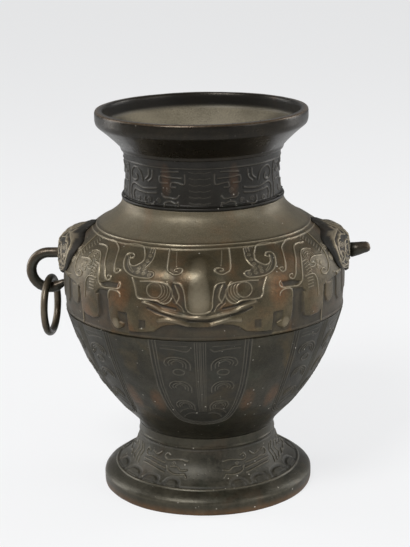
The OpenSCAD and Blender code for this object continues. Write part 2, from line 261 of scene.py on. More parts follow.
def bronze(name, ground, dark, warm, green, worn, roughness, warm_share=0.4, dust=0.0, speck_share=0.02):
    """Patinated bronze: a mottled ground, dark recesses, ridges rubbed to metal with a painted highlight,
    dust that on the shoulder is a painted top light, and pale specks.
    """
    shader = Shader(name)
    place = shader.node("ShaderNodeTexCoord").outputs["Object"]
    broad = shader.noise(place, 48, 3, 0.5)
    middle = shader.noise(place, 13, 5, 0.6, 0.4)
    fine = shader.noise(place, 2.6, 4, 0.65)
    grain = shader.noise(place, 0.7, 2, 0.6)
    ridge = shader.attribute("worn")
    recess = shader.attribute("deep")
    dusty = shader.attribute("dust")
    glowing = shader.attribute("warm")
    light_ground = [part * 1.7 for part in ground]
    deepest = [part * 0.32 for part in dark]

    cloud = (broad * 0.55 + middle * 0.45).above(0.5, 0.12)
    warm_patch = shader.noise(place, 31, 3, 0.5, 0.6).above(1 - warm_share, 0.1) * 0.75
    green_patch = shader.noise(place, 22, 4, 0.6, 0.5).above(1 - GREEN_SHARE, 0.09) * 0.6
    colour = shader.mix(cloud, ground, dark)
    colour = shader.mix(warm_patch, colour, warm)
    colour = shader.mix(green_patch, colour, green)
    colour = shader.mix((glowing * (0.3 + 1.1 * middle)).clamped(), colour, ORANGE_BROWN)
    colour = shader.mix(fine.above(0.54, 0.1) * 0.45, colour, dark)
    colour = shader.mix(grain.above(0.62, 0.08) * 0.35, colour, light_ground)
    colour = shader.mix((recess * (0.7 + 0.3 * middle)).clamped() * 0.9, colour, deepest)
    # Ridges take the paler colour, for wear and for a painted highlight
    colour = shader.mix((ridge * (0.65 + 0.7 * fine)).clamped() * 0.9, colour, worn)
    # The dust layer is real dust in the throat, and a painted top light on the shoulder
    held_dust_and_top_light = dusty * (0.45 + 1.1 * grain.above(0.42, 0.16) * (0.4 + fine))
    strewn = dust * (fine * 0.6 + middle * 0.8).above(0.72, 0.2)
    dust_and_top_light = (held_dust_and_top_light + strewn).clamped()
    colour = shader.mix(dust_and_top_light, colour, DUST_AND_TOP_LIGHT_COLOUR)
    pale = shader.specks(place, 2.4, speck_share) * middle.above(0.5, 0.1)
    colour = shader.mix(pale, colour, PALE_SPECK)

    mottled = roughness + 0.16 * (fine - 0.5) + 0.14 * (middle - 0.5)
    sheen = mottled + 0.3 * dust_and_top_light + 0.25 * recess - 0.07 * ridge
    bare = (BARE_METAL - 0.6 * dust_and_top_light - 0.5 * recess - 0.6 * pale - 0.32 * ridge).clamped()
    bump_height = fine * 0.5 + grain * 0.25 + shader.specks(place, 3.3, 0.2) * -0.35
    bump = shader.node("ShaderNodeBump", {}, Strength=0.75, Distance=PIT_DEPTH * MM, Height=bump_height)
    surface = shader.node("ShaderNodeBsdfPrincipled", {}, Base_Color=colour, Roughness=sheen.clamped(),
                          Metallic=bare, Normal=bump.outputs[0])
    shader.node("ShaderNodeOutputMaterial", {}, Surface=surface.outputs[0])
    return shader.material


BRONZES = {name: bronze(name, **look) for name, look in FINISHES.items()}


# Floor and sky, which look paler to the camera than they light the vessel

def floor_finish():
    shader = Shader("pale_floor")
    rays = shader.node("ShaderNodeLightPath")
    matt = shader.node("ShaderNodeBsdfDiffuse", {}, Color=FLOOR_PAINT)
    glow = shader.node("ShaderNodeEmission", {}, Color=FLOOR_SEEN, Strength=1.0)
    seen = shader.value(rays, "Is Camera Ray") * FLOOR_SEEN_SHARE
    blend = shader.node("ShaderNodeMixShader", {}, i0=seen, i1=matt.outputs[0], i2=glow.outputs[0])
    shader.node("ShaderNodeOutputMaterial", {}, Surface=blend.outputs[0])
    return shader.material


def add_floor():
    size = FLOOR_HALF
    corners = [(-size, -size, 0), (size, -size, 0), (size, size, 0), (-size, size, 0)]
    mesh = bpy.data.meshes.new("floor")
    mesh.from_pydata(corners, [], [(0, 1, 2, 3)])
    floor = bpy.data.objects.new("floor", mesh)
    bpy.context.scene.collection.objects.link(floor)
    mesh.materials.append(floor_finish())


def set_world():
    world = bpy.data.worlds.new("studio")
    bpy.context.scene.world = world
    world.use_nodes = True
    nodes = Nodes(world.node_tree)
    rays = nodes.node("ShaderNodeLightPath")
    sky = nodes.node("ShaderNodeBackground", {}, Color=SKY_LIGHT, Strength=SKY_STRENGTH)
    seen = nodes.node("ShaderNodeBackground", {}, Color=SKY_SEEN)
    blend = nodes.node("ShaderNodeMixShader", {}, i0=rays.outputs["Is Camera Ray"], i1=sky.outputs[0],
                       i2=seen.outputs[0])
    nodes.node("ShaderNodeOutputWorld", {}, Surface=blend.outputs[0])


# Mesh making

def make_mesh(name, points, quads, caps=()):
    """A mesh from points in millimetres, smooth faces with four corners and flat caps with more."""
    mesh = bpy.data.meshes.new(name)
    corners = np.concatenate([quads.ravel(), *caps]).astype(np.int32)
    sizes = np.concatenate([np.full(len(quads), 4), [len(cap) for cap in caps]]).astype(np.int32)
    starts = np.concatenate([[0], np.cumsum(sizes)[:-1]]).astype(np.int32)
    mesh.vertices.add(len(points))
    mesh.vertices.foreach_set("co", (points * MM).astype(np.float32).ravel())
    mesh.loops.add(len(corners))
    mesh.loops.foreach_set("vertex_index", corners)
    mesh.polygons.add(len(sizes))
    mesh.polygons.foreach_set("loop_start", starts)
    mesh.update(calc_edges=True)
    smooth = np.ones(len(sizes), dtype=bool)
    smooth[len(quads):] = False
    mesh.polygons.foreach_set("use_smooth", smooth)
    mesh.validate()
    return mesh


# The first layer carries wear together with painted highlights on crests and edges
LAYERS = ("worn", "deep", "dust", "warm")


def paint(mesh, **layers):
    """Stores one number per point under each layer's name, for the finish to read."""
    for name in LAYERS:
        values = layers.get(name)
        if values is None:
            values = np.zeros(len(mesh.vertices))
        layer = mesh.attributes.new(name, "FLOAT", "POINT")
        layer.data.foreach_set("value", np.clip(values, 0, 1).astype(np.float32).ravel())


def add_piece(mesh, slot, body, node):
    """Puts a finished mesh in the scene: it rides on a CAD body and stands for a CAD node."""
    piece = bpy.data.objects.new(mesh.name, mesh)
    bpy.context.scene.collection.objects.link(piece)
    mesh.materials.append(BRONZES[slot])
    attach(piece, body)
    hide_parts(node)


# Outlines of the castings, read from the frame

# Only points within about 53 degrees of the front are read, which leaves the handles' holes out
FRONT_SHARE = 0.6
LEVEL_SLACK = 0.02
FEWEST_AT_LEVEL = 12
# A level whose radius falls short by this much holds points of the wall's other face only
STRAY_STEP = 2.65


def node_levels(node):
    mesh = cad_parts[node].data
    places = np.empty(len(mesh.vertices) * 3)
    mesh.vertices.foreach_get("co", places)
    places = places.reshape(-1, 3) / MM
    radius = np.hypot(places[:, 0], places[:, 1])
    front = -places[:, 1] > FRONT_SHARE * radius
    return radius[front], places[front, 2]


def outline(node, low, high, side=1):
    """[radius, height] points of a turned node between two heights: outside, or inside where side is -1."""
    radius, height = node_levels(node)
    found = []
    for level in np.unique(np.round(height, 2)):
        at_level = np.abs(height - level) < LEVEL_SLACK
        if low - LEVEL_SLACK <= level <= high + LEVEL_SLACK and at_level.sum() >= FEWEST_AT_LEVEL:
            found.append((side * (side * radius[at_level]).max(), level))
    return without_strays(np.array(found), side)


def without_strays(line, side):
    """Drops the levels that hold points of the wall's other face only."""
    while len(line) > 3:
        span = line[2:, 1] - line[:-2, 1]
        between = line[:-2, 0] + (line[2:, 0] - line[:-2, 0]) * (line[1:-1, 1] - line[:-2, 1]) / span
        short = side * (between - line[1:-1, 0])
        if short.max() < STRAY_STEP:
            break
        line = np.delete(line, short.argmax() + 1, 0)
    return line


def radius_at(wall, height):
    return np.interp(height, wall[:, 1], wall[:, 0])


def spaced(points, step):
    """Points along a broken line at an even spacing close to step, with its ends kept."""
    points = np.asarray(points, float)
    run = np.concatenate([[0], np.cumsum(np.hypot(*np.diff(points, axis=0).T))])
    count = max(2, int(round(run[-1] / step)) + 1)
    places = np.linspace(0, run[-1], count)
    return np.stack([np.interp(places, run, points[:, 0]), np.interp(places, run, points[:, 1])], 1)


def eased(points, step, reach):
    """A broken line made smooth: even points, averaged over a reach each way, with the ends kept."""
    line = spaced(points, step)
    span = max(1, int(round(reach / step)))
    for _ in range(2):
        for axis in (0, 1):
            before = 2 * line[0, axis] - line[span:0:-1, axis]
            after = 2 * line[-1, axis] - line[-2:-span - 2:-1, axis]
            padded = np.concatenate([before, line[:, axis], after])
            line[:, axis] = np.convolve(padded, np.ones(2 * span + 1) / (2 * span + 1), "valid")
    return line


def run_along(line):
    return np.concatenate([[0], np.cumsum(np.hypot(*np.diff(line, axis=0).T))])


def offset(line, distance):
    """The line moved to its right, which is outward on a line that goes up the outside."""
    ahead = np.gradient(line, axis=0)
    ahead /= np.hypot(ahead[:, 0], ahead[:, 1])[:, None]
    return line + distance * np.stack([ahead[:, 1], -ahead[:, 0]], 1)


def turned(name, outside, inside, angles, relief, layers):
    """A turned wall between two angles, with a carved outside. Outside and inside both go up.
    Angles are in degrees from the front, and a full turn leaves its last angle out."""
    whole = angles[-1] - angles[0] > MOST_OF_A_TURN
    loop = np.concatenate([outside, inside[::-1]])
    rows = len(loop)
    carved = len(outside)
    columns = len(angles)
    ahead = np.roll(loop, -1, 0) - np.roll(loop, 1, 0)
    ahead[:carved] = np.gradient(outside, axis=0)
    ahead /= np.hypot(ahead[:, 0], ahead[:, 1])[:, None]
    height = np.zeros((rows, columns))
    height[:carved] = relief
    radius = loop[:, :1] + height * ahead[:, 1:]
    level = loop[:, 1:] - height * ahead[:, :1]
    turn = np.radians(angles)[None, :]
    points = np.stack([radius * np.sin(turn), -radius * np.cos(turn), level + 0 * radius], -1).reshape(-1, 3)
    row = np.arange(rows)[:, None]
    column = np.arange(columns if whole else columns - 1)[None, :]
    below = row * columns
    above = (row + 1) % rows * columns
    after = (column + 1) % columns
    quads = np.stack([below + column, below + after, above + after, above + column], -1).reshape(-1, 4)
    caps = [] if whole else [np.arange(rows) * columns, (np.arange(rows) * columns + columns - 1)[::-1]]
    mesh = make_mesh(name, points, quads, caps)
    full = {}
    for key, values in layers.items():
        grid = np.zeros((rows, columns))
        grid[:carved] = values
        full[key] = grid
    paint(mesh, **full)
    if not whole:
        smooth_across_joints(mesh, points.reshape(rows, columns, 3), turn)
    return mesh


def smooth_across_joints(mesh, grid, turn):
    """Normals that run on over the edges where this piece meets its mirrored neighbours."""
    across = np.gradient(grid, axis=1)
    level = np.stack([np.cos(turn[0, [0, -1]]), np.sin(turn[0, [0, -1]]), [0, 0]], 1)
    across[:, 0] = level[0]
    across[:, -1] = level[1]
    along = np.roll(grid, -1, 0) - np.roll(grid, 1, 0)
    normal = np.cross(across, along)
    normal /= np.linalg.norm(normal, axis=-1, keepdims=True) + 1e-12
    mesh.normals_split_custom_set_from_vertices(normal.reshape(-1, 3).astype(np.float32))


# Carving

def smoothed(points, steps=6):
    """A Catmull-Rom curve through the points."""
    points = np.asarray(points, float)
    if len(points) < 3:
        return points
    padded = np.vstack([2 * points[0] - points[1], points, 2 * points[-1] - points[-2]])
    share = np.linspace(0, 1, steps, endpoint=False)[:, None]
    out = []
    for a, b, c, d in zip(padded, padded[1:], padded[2:], padded[3:]):
        out.append(0.5 * (2 * b + (c - a) * share + (2 * a - 5 * b + 4 * c - d) * share ** 2
                          + (3 * b - a - 3 * c + d) * share ** 3))
    return np.vstack([*out, points[-1:]])


def blurred(grid, reach):
    """Average of a grid over a reach of cells each way, passed twice, mirrored at its edges."""
    size = 2 * reach + 1
    for axis in (0, 1):
        pads = [(0, 0), (0, 0)]
        pads[axis] = (reach + 1, reach)
        for _ in range(2):
            total = np.moveaxis(np.cumsum(np.pad(grid, pads, "reflect"), axis=axis), axis, 0)
            grid = np.moveaxis((total[size:] - total[:-size]) / size, 0, axis)
    return grid


def ease(share):
    """0 up to 0, 1 from 1 on, and an S curve between."""
    share = np.clip(share, 0, 1)
    return share * share * (3 - 2 * share)


class Carving:
    """Heights over a piece of wall. Places on it are [angle from the middle, distance up along the wall]."""

    # How far round a point its height is compared, and the lift that shows full wear and painted highlight,
    # and the fall that shows full dark
    SHADE_REACH = 3.2
    FULL_LIFT = 0.5
    FULL_FALL = 0.75

    def __init__(self, line, wide, step=CARVED_STEP):
        self.line = line
        run = run_along(line)
        self.up = run[:, None]
        self.radius = line[:, :1]
        count = int(round(math.radians(wide) * line[:, 0].max() / step)) + 1
        self.angle = np.linspace(0, wide, count)[None, :]
        self.per_degree = self.radius * math.pi / 180
        self.set_blank((len(run), count))

    def set_blank(self, shape):
        self.height, self.dust, self.crest, self.shade, self.warm = (np.zeros(shape) for _ in range(5))
        self.freeze()

    def window(self, path, margin):
        low = path.min(0)
        high = path.max(0)
        rows = np.nonzero((self.up[:, 0] > low[1] - margin) & (self.up[:, 0] < high[1] + margin))[0]
        if not len(rows):
            return None
        slack = margin / self.per_degree[rows].min()
        columns = np.nonzero((self.angle[0] > low[0] - slack) & (self.angle[0] < high[0] + slack))[0]
        if not len(columns):
            return None
        return slice(rows[0], rows[-1] + 1), slice(columns[0], columns[-1] + 1)

    def distance(self, path, margin):
        """Distance from each point to a broken line, up to a margin."""
        found = np.full(self.height.shape, margin * 1.0)
        for start, end in zip(path, path[1:]):
            part = self.window(np.array([start, end]), margin)
            if part is None:
                continue
            rows, columns = part
            scale = self.per_degree[rows]
            across = (self.angle[:, columns] - start[0]) * scale
            along = self.up[rows] - start[1]
            step_across = (end[0] - start[0]) * scale
            step_along = end[1] - start[1]
            length = step_across ** 2 + step_along ** 2 + 1e-9
            share = np.clip((across * step_across + along * step_along) / length, 0, 1)
            gap = np.hypot(across - share * step_across, along - share * step_along)
            found[rows, columns] = np.minimum(found[rows, columns], gap)
        return found

    def thread(self, points, height=0.7, half=1.0, smooth=True):
        """A raised rounded line."""
        path = smoothed(points) if smooth else np.asarray(points, float)
        share = 0.5 * (1 + np.cos(np.pi * self.distance(path, half) / half))
        self.height = np.maximum(self.height, self.base + height * share)
        # The crest of a thread is painted paler, for wear and a painted highlight
        shine = min(1, 0.45 + 0.6 * height) * min(1, 1.1 / half) ** 1.3
        self.crest = np.maximum(self.crest, share ** 2 * shine)

    def groove(self, points, depth=0.6, half=0.9, smooth=True):
        path = smoothed(points) if smooth else np.asarray(points, float)
        self.height -= depth * 0.5 * (1 + np.cos(np.pi * self.distance(path, half) / half))

    def inside(self, path):
        """True inside a closed outline."""
        within = np.zeros(self.height.shape, dtype=bool)
        for (x1, y1), (x2, y2) in zip(path, np.roll(path, -1, 0)):
            if y1 == y2:
                continue
            crosses = (self.up > min(y1, y2)) & (self.up <= max(y1, y2))
            within ^= crosses & (self.angle < x1 + (self.up - y1) * (x2 - x1) / (y2 - y1))
        return within

    def share_inside(self, points, bevel, smooth=False):
        """1 inside a closed outline and 0 outside it, eased over a bevel on each side of its edge."""
        path = np.vstack([points, points[:1]])
        if smooth:
            path = smoothed(path)
        gap = self.distance(path, bevel)
        return ease(0.5 + np.where(self.inside(path), gap, -gap) / (2 * bevel))

    def pad(self, points, height, bevel=1.2, smooth=False):
        """Raises, or sinks where height is negative, a closed outline with sloping edges."""
        self.height += height * self.share_inside(points, bevel, smooth)

    def darken(self, points, amount, bevel=1.0):
        """Darkens the ground inside a closed outline."""
        self.shade = np.maximum(self.shade, amount * self.share_inside(points, bevel))

    def oval(self, middle, across, along):
        """1 in the middle of an oval, 0 from its edge on. Its half sizes are in millimetres."""
        aside = (self.angle - middle[0]) * self.per_degree / across
        return np.clip(1 - (aside ** 2 + ((self.up - middle[1]) / along) ** 2), 0, 1)

    def dome(self, middle, across, along, height, power=1.0):
        """A swelling over an oval."""
        self.height += height * self.oval(middle, across, along) ** power

    def pale_oval(self, middle, across, along, amount):
        """An oval painted pale: wear, and on the nose also a painted highlight."""
        self.crest = np.maximum(self.crest, amount * self.oval(middle, across, along) ** 0.6)

    def glow(self, middle, across, along, amount):
        """An oval orange-brown patch."""
        self.warm = np.maximum(self.warm, amount * self.oval(middle, across, along))

    def degree_at(self, up):
        """Length of a degree at a height on the wall."""
        return self.per_degree[int(np.argmin(np.abs(self.up[:, 0] - up))), 0]

    def spiral(self, middle, radius, turns=1.6, height=0.4, half=0.5, start=0.0):
        """A small raised spiral, radius in millimetres."""
        scale = self.degree_at(middle[1])
        share = np.linspace(0, 1, int(turns * 12))
        turn = np.radians(start) + share * turns * 2 * math.pi
        reach = radius * (1 - 0.85 * share)
        path = np.stack([middle[0] + reach * np.cos(turn) / scale, middle[1] + reach * np.sin(turn)], 1)
        self.thread(path, height, half, smooth=False)

    def freeze(self):
        """Threads drawn after this stand on the surface as it is now."""
        self.base = self.height.copy()

    def wear_highlight_and_deep(self):
        """How much wear and painted highlight each point shows, on its threads and swellings, and how dark
        its hollow is.
        """
        cells = max(2, int(self.SHADE_REACH / CARVED_STEP))
        lift = self.height - blurred(self.height, cells)
        worn = self.crest * (0.55 + 0.45 * np.clip(lift / self.FULL_LIFT, 0, 1))
        hollow = np.clip(-lift / self.FULL_FALL, 0, 1)
        return worn, np.clip(self.shade + hollow, 0, 1) * (1 - 0.75 * self.crest)

    def fade(self, start, end, least):
        """Lowers the carving towards the sides."""
        self.height *= 1 - (1 - least) * ease((self.angle - start) / (end - start))


def round_line(middle, across, along, start, end, step, scale):
    """An arc in millimetres round a place on the wall, where a degree is scale long."""
    turn = np.radians(np.arange(start, end, step))
    return np.stack([middle[0] + across * np.cos(turn) / scale, middle[1] + along * np.sin(turn)], 1)


def waves(points_x, points_y, points_z, size, seed):
    """Gentle unevenness between about -1 and 1, from a few crossing waves of about that size."""
    random = np.random.default_rng(seed)
    total = 0
    count = 7
    for _ in range(count):
        way = random.normal(size=3)
        way /= np.linalg.norm(way)
        length = size * random.uniform(0.7, 1.5)
        phase = random.uniform(0, 2 * math.pi)
        total = total + np.sin((points_x * way[0] + points_y * way[1] + points_z * way[2])
                               * 2 * math.pi / length + phase)
    return total / math.sqrt(count)


def unevenness(line, angles, seed, fine=0.05, broad=0.18):
    """Hand-worked unevenness of a cast wall, as heights."""
    turn = np.radians(angles)[None, :]
    x = line[:, :1] * np.sin(turn)
    y = -line[:, :1] * np.cos(turn)
    z = line[:, 1:] + 0 * x
    return broad * waves(x, y, z, 60, seed) + fine * waves(x, y, z, 14, seed + 1)


# Ornament of the upper body: half of a beast's face, from the nose out to the side.
# Places are [degrees from the nose, millimetres up the wall from the waist].

BORDER_HIGH = 82.4
BORDER_LOW = 78.3
BROW_HOOK = [(14.3, 78), (13.4, 66), (12.6, 57), (11.5, 55), (9.6, 53.3), (7.5, 53.8), (6.4, 55.8),
             (6.6, 57.8), (8.2, 58.8), (9.8, 57.8), (9.7, 56.2), (8.6, 55.9)]
BROW_LINE = [(10.6, 76.5), (9.9, 68), (9.2, 61)]
NOSTRIL_EDGE = [(9.9, 47), (7.3, 46), (5.8, 42), (5.2, 35.6), (5, 28.4), (4.3, 25.5)]
NOSTRIL_LEAF = [(9.2, 45), (8.2, 41), (7.5, 36), (8.7, 31)]
NOSTRIL_LOW = [(10.1, 37.5), (8.7, 32), (6.8, 28.4), (5.7, 24.7)]
HORN_OUTER = [(20.6, 54.9), (18.9, 54.5), (18.1, 52.5), (18.9, 50.2), (21.3, 49.3), (25.9, 49.6),
              (29.2, 51.4), (31.7, 54.9), (33.3, 60.2), (34.2, 64.7), (34.4, 67.8), (33.4, 69.7),
              (31.5, 70), (30.2, 68.2), (30.4, 66), (31.6, 65.6), (32, 67)]
HORN_INNER = [(25.2, 70.6), (24.6, 64.7), (26.2, 60), (28.4, 58.1), (30.6, 60.2), (31.5, 63.8)]
HORN_STEM = [(21.3, 77), (20.6, 70.2), (20.6, 65.6), (21.4, 61.5), (22.4, 57.8)]
HORN_ARCH = [(25.4, 71.1), (26.4, 74), (27.5, 77), (29.2, 79), (32.4, 79.8), (35.2, 79.6), (39.4, 77.5)]
HOOK_INNER = [(50, 79), (46.8, 78.3), (44.3, 76.3), (41, 72.2), (39, 65), (37.5, 58), (36.5, 52.9),
              (35.8, 50.8), (34.7, 50.3), (33.7, 51.8), (33.9, 53.8), (35.2, 53.9), (35.2, 52.7)]
HOOK_MIDDLE = [(56, 71.5), (50.5, 72), (47.5, 69.5), (45.2, 63.8), (43.2, 57.5), (41.6, 52), (40.5, 46.5),
               (39.6, 44), (38.5, 43.3), (37.3, 44.8), (37.5, 46.9), (38.7, 47.2), (38.9, 46)]
HOOK_OUTER = [(55.5, 63), (53, 65), (50, 64.5), (47.5, 60.7), (45.6, 55), (44.2, 48), (43.3, 40.6),
              (41.7, 38), (39.9, 37.2), (36.3, 37.9), (33, 38.4), (32, 41), (32.6, 43.4)]
CHEEK_CURL = [(38, 29.3), (37.8, 33.8), (36.9, 36.2), (35.2, 36.8), (33.2, 36.2), (32, 34.2), (31.8, 32.6)]
SIDE_HOOK = [(66.5, 80), (64.8, 68), (62.9, 55), (62.1, 46.5), (60.4, 41.5), (58, 39.5), (55.6, 41),
             (55.4, 43.4), (57, 44.6), (58.2, 43.2)]
BIRD_LINE = [(59.8, 54.7), (54.7, 56), (51.7, 55.2), (50.5, 52.2), (52.6, 50.4), (51.6, 48.6), (49.6, 48.2)]
BLOCK_LINE = [(52, 25), (52, 31), (51.7, 37.5), (50.6, 42), (48.4, 43.2), (45.2, 42.9)]
EYE_PANEL = [(10.4, 41), (10.3, 35.6), (11.5, 32), (13.8, 30.2), (16.6, 32.4), (22.3, 32.8), (24.2, 34.3),
             (25, 39.3), (25.9, 43.8), (27, 48.4)]
EYE_LID = [(23.4, 46.4), (20, 47), (16.6, 46.8), (13.3, 46), (11.4, 44), (10.4, 41)]
PUPIL = (17.4, 40.4)
UPPER_LIP = [(21.5, 31), (19, 29.6), (16.5, 27.3), (14, 24.6), (10.5, 22.8), (6, 21), (3, 19.9), (0, 20.2)]
LOWER_LIP = [(15.5, 16.6), (12.5, 17.6), (9, 16.6), (6, 14.6), (4.5, 13.6)]
NOSE_FOOT = [(0, 23.4), (2.5, 23.8), (4.3, 25.4)]
JAW = [(0, 11.6), (3.5, 12), (8.2, 13.8), (12.8, 12.9), (15.2, 11), (18, 6.8), (23, 5.2), (26.2, 4.8)]
CHEEK_EDGE = 38.2
FACE_HOLLOW = [(-2, -4), *JAW, (29, 4.8), (29, 19.7), (33.3, 20.2), (33.4, 15.6), (32.7, 12), (30.8, 10.2),
               (31.5, 7.5), (33.6, 5.2), (35.2, 6.1), (36.6, 10.2), (37.7, 14.7), (CHEEK_EDGE, 20),
               (CHEEK_EDGE, 35.5), (43.2, 35), (45, 31), (56, 31), (62, 33), (92, 36), (92, -4)]
CHEEK_NOTCH = [(21.4, 15.4), (24.1, 15.4), (24.3, 8), (21.6, 8)]
WIDE_BLOCK = [(43.4, 31), (56, 31), (55.2, 15), (54.4, 11.5), (52, 9.6), (47.6, 9.2), (44.4, 11.2),
              (43, 15)]
NARROW_BLOCK = [(57.6, 32), (63.6, 32), (64, 21), (63, 16.5), (60.6, 15), (58.6, 17), (57.4, 22)]
SIDE_TONGUE = [(-2.8, 36), (2.8, 36), (2.5, 17), (0, 12), (-2.5, 17)]
SIDE_TONGUES = (70, 79, 88)
NOSTRIL_HOLLOW = NOSTRIL_EDGE + [(5.4, 24.6), (8, 27.5), (10.2, 31.5), (11, 38), (10.6, 44)]
HORN_FIELD = HORN_OUTER[:11] + HORN_INNER[::-1] + [(25, 77)] + HORN_STEM
HOOK_HOLLOW = [(33.4, 42.6), (39, 42.2), (42.4, 40), (41.7, 38.6), (39.9, 37.9), (34, 38.6)]
MOUTH_LINE = [(0, 17.2), (4, 17), (8, 19.3), (12, 21.4), (16, 22.8), (20, 26)]
CHEEK_FOLD = [(9, 26.6), (13.4, 28.2), (17.5, 30.6), (22, 31.4)]
BLOCK_SEAM = [(55.6, 2), (55.7, 12), (56.2, 24), (56.4, 30)]
# Low ground under the jaw, painted with shadow
JAW_SHADOW_GROUND = [(-2, -4), *JAW, (29, 4.8), (29, -4)]
BLOCK_GROUND = [(CHEEK_EDGE, -4), (CHEEK_EDGE, 35), (43.4, 34), (44.4, 11), (47.6, 9), (52, 9.6), (56, 15),
                (57.6, 22), (60, 14), (64, 20), (66, 34), (92, 36), (92, -4)]
# Swellings of nose, cheek, jaw, fang, tooth and side block: middle, half sizes, height and power
FACE_SWELLINGS = [((0, 44), 20, 30, 3.4, 1.2), ((27, 26), 22, 15, 1.0), ((12, 18), 16, 7, 0.8),
                  ((34.5, 13), 8, 11, 0.9), ((27.2, 14), 5, 12, 0.7), ((49.3, 20), 11, 11, 0.6)]
# Raised lines with their heights and half widths
FACE_THREADS = [(UPPER_LIP, 1.6, 2.3), (LOWER_LIP, 1.3, 2.6), (NOSE_FOOT, 0.9, 1.2),
                (NOSTRIL_EDGE, 0.9, 1.0), (NOSTRIL_LEAF, 1.2, 1.3), (NOSTRIL_LOW, 0.8, 0.9),
                *[(line, 0.8, 0.95) for line in (BROW_HOOK, HORN_OUTER, HORN_INNER, HORN_STEM, HORN_ARCH,
                                                 HOOK_INNER, HOOK_MIDDLE, HOOK_OUTER, CHEEK_CURL, SIDE_HOOK,
                                                 EYE_PANEL, EYE_LID)],
                (BROW_LINE, 0.4, 0.7), (BIRD_LINE, 0.6, 0.8), (BLOCK_LINE, 0.6, 0.8), (BLOCK_SEAM, 0.9, 0.9)]
# Pale places, the two on the nose a painted highlight as well as wear, the others wear, and orange-brown
# places: middle, half sizes and amount
FACE_WEAR_AND_HIGHLIGHTS = [((0, 37), 8.5, 20, 0.8), ((0, 56), 6.5, 14, 0.35), ((34.6, 10), 3.6, 5, 0.45),
               ((8, 19), 9, 3.5, 0.35)]
FACE_WARM = [((32, 36), 11, 17, 0.8), ((10, 28), 9, 6, 0.5), ((50, 14), 6, 7, 0.35)]
# A painted top light on the plain shoulder above the ornament, laid in the pale dust colour
SHOULDER_TOP_LIGHT = 0.28
# Length of a degree, in millimetres, at the eye and at the side hooks
EYE_DEGREE = math.pi / 180 * 112
SIDE_DEGREE = math.pi / 180 * 108


def carve_face(sheet):
    """The beast's face: one quarter of the upper body, from the nose at 0 to the handle at 90 degrees."""
    sheet.pad(FACE_HOLLOW, -1.5, 0.7)
    sheet.pad(CHEEK_NOTCH, -1.1, 0.9)
    sheet.pad(WIDE_BLOCK, 1.5, 0.8)
    sheet.pad(NARROW_BLOCK, 1.3, 0.8)
    for angle in SIDE_TONGUES:
        sheet.pad([(angle + aside, up) for aside, up in SIDE_TONGUE], 1.2, 0.8)
    for swelling in FACE_SWELLINGS:
        sheet.dome(*swelling)
    sheet.groove(MOUTH_LINE, 1.3, 1.6)
    sheet.groove(CHEEK_FOLD, 1.3, 1.5)
    sheet.pad(NOSTRIL_HOLLOW, -1.0, 1.0)
    sheet.pad(HORN_FIELD, -0.35, 0.6)
    sheet.pad(EYE_PANEL + EYE_LID, -0.5, 0.8)
    sheet.pad(HOOK_HOLLOW, -1.2, 0.8)
    sheet.freeze()
    for line, height, half in FACE_THREADS:
        sheet.thread(line, height, half)
    # Pale ovals: the two on the nose paint a highlight there as well as its wear
    for place in FACE_WEAR_AND_HIGHLIGHTS:
        sheet.pale_oval(*place)
    for place in FACE_WARM:
        sheet.glow(*place)
    # Painted light from above on the plain shoulder, kept in the dust layer
    sheet.dust += SHOULDER_TOP_LIGHT * ease((sheet.up - BORDER_HIGH - 1) / 3)
    sheet.darken(HORN_FIELD, 0.3)
    # Painted shadow under the jaw's overhang; the ground round the side blocks is darkened too
    sheet.darken(JAW_SHADOW_GROUND, 0.7, 0.8)
    sheet.darken(BLOCK_GROUND, 0.7, 0.8)
    carve_eye(sheet)
    carve_horn_fill(sheet)
    carve_side_fill(sheet)
    for up in (BORDER_HIGH, BORDER_LOW):
        sheet.thread([(-5, up), (95, up)], 0.8, 1.0, smooth=False)


def carve_eye(sheet):
    """The pupil's ring, its swelling, and the arcs towards the nose."""
    sheet.thread(round_line(PUPIL, 6, 6, 0, 361, 12, EYE_DEGREE), 0.6, 0.8, smooth=False)
    sheet.dome(PUPIL, 5.4, 5.4, 0.35, 0.8)
    for reach in (8.2, 10.4, 12.4):
        arc_line = round_line(PUPIL, reach, 0.85 * reach, 140, 250, 10, EYE_DEGREE)
        sheet.thread(arc_line, 0.5, 0.7, smooth=False)


def carve_horn_fill(sheet):
    """Spirals and short lines between the horn's two edges."""
    for middle in ((20.4, 52.2), (23, 52.8), (25.7, 53.4), (23.2, 56.6), (25.6, 56.9)):
        sheet.spiral(middle, 1.9, 1.6, 0.45, 0.5, start=90)
    for middle in ((22.9, 65.2), (22.7, 70.4), (23.3, 60.4)):
        sheet.spiral(middle, 1.8, 1.6, 0.45, 0.5, start=200)
    for shift in (0.9, 1.8):
        sheet.thread([(28 - shift * 0.3, 51.8 + shift), (30.6 - shift, 54.9 + shift * 0.6),
                      (32.4 - shift, 60.2), (33.3 - shift, 65)], 0.45, 0.6)
    for angle in (22.5, 23.8):
        sheet.thread([(angle, 78), (angle - 0.2, 73.4)], 0.5, 0.7)


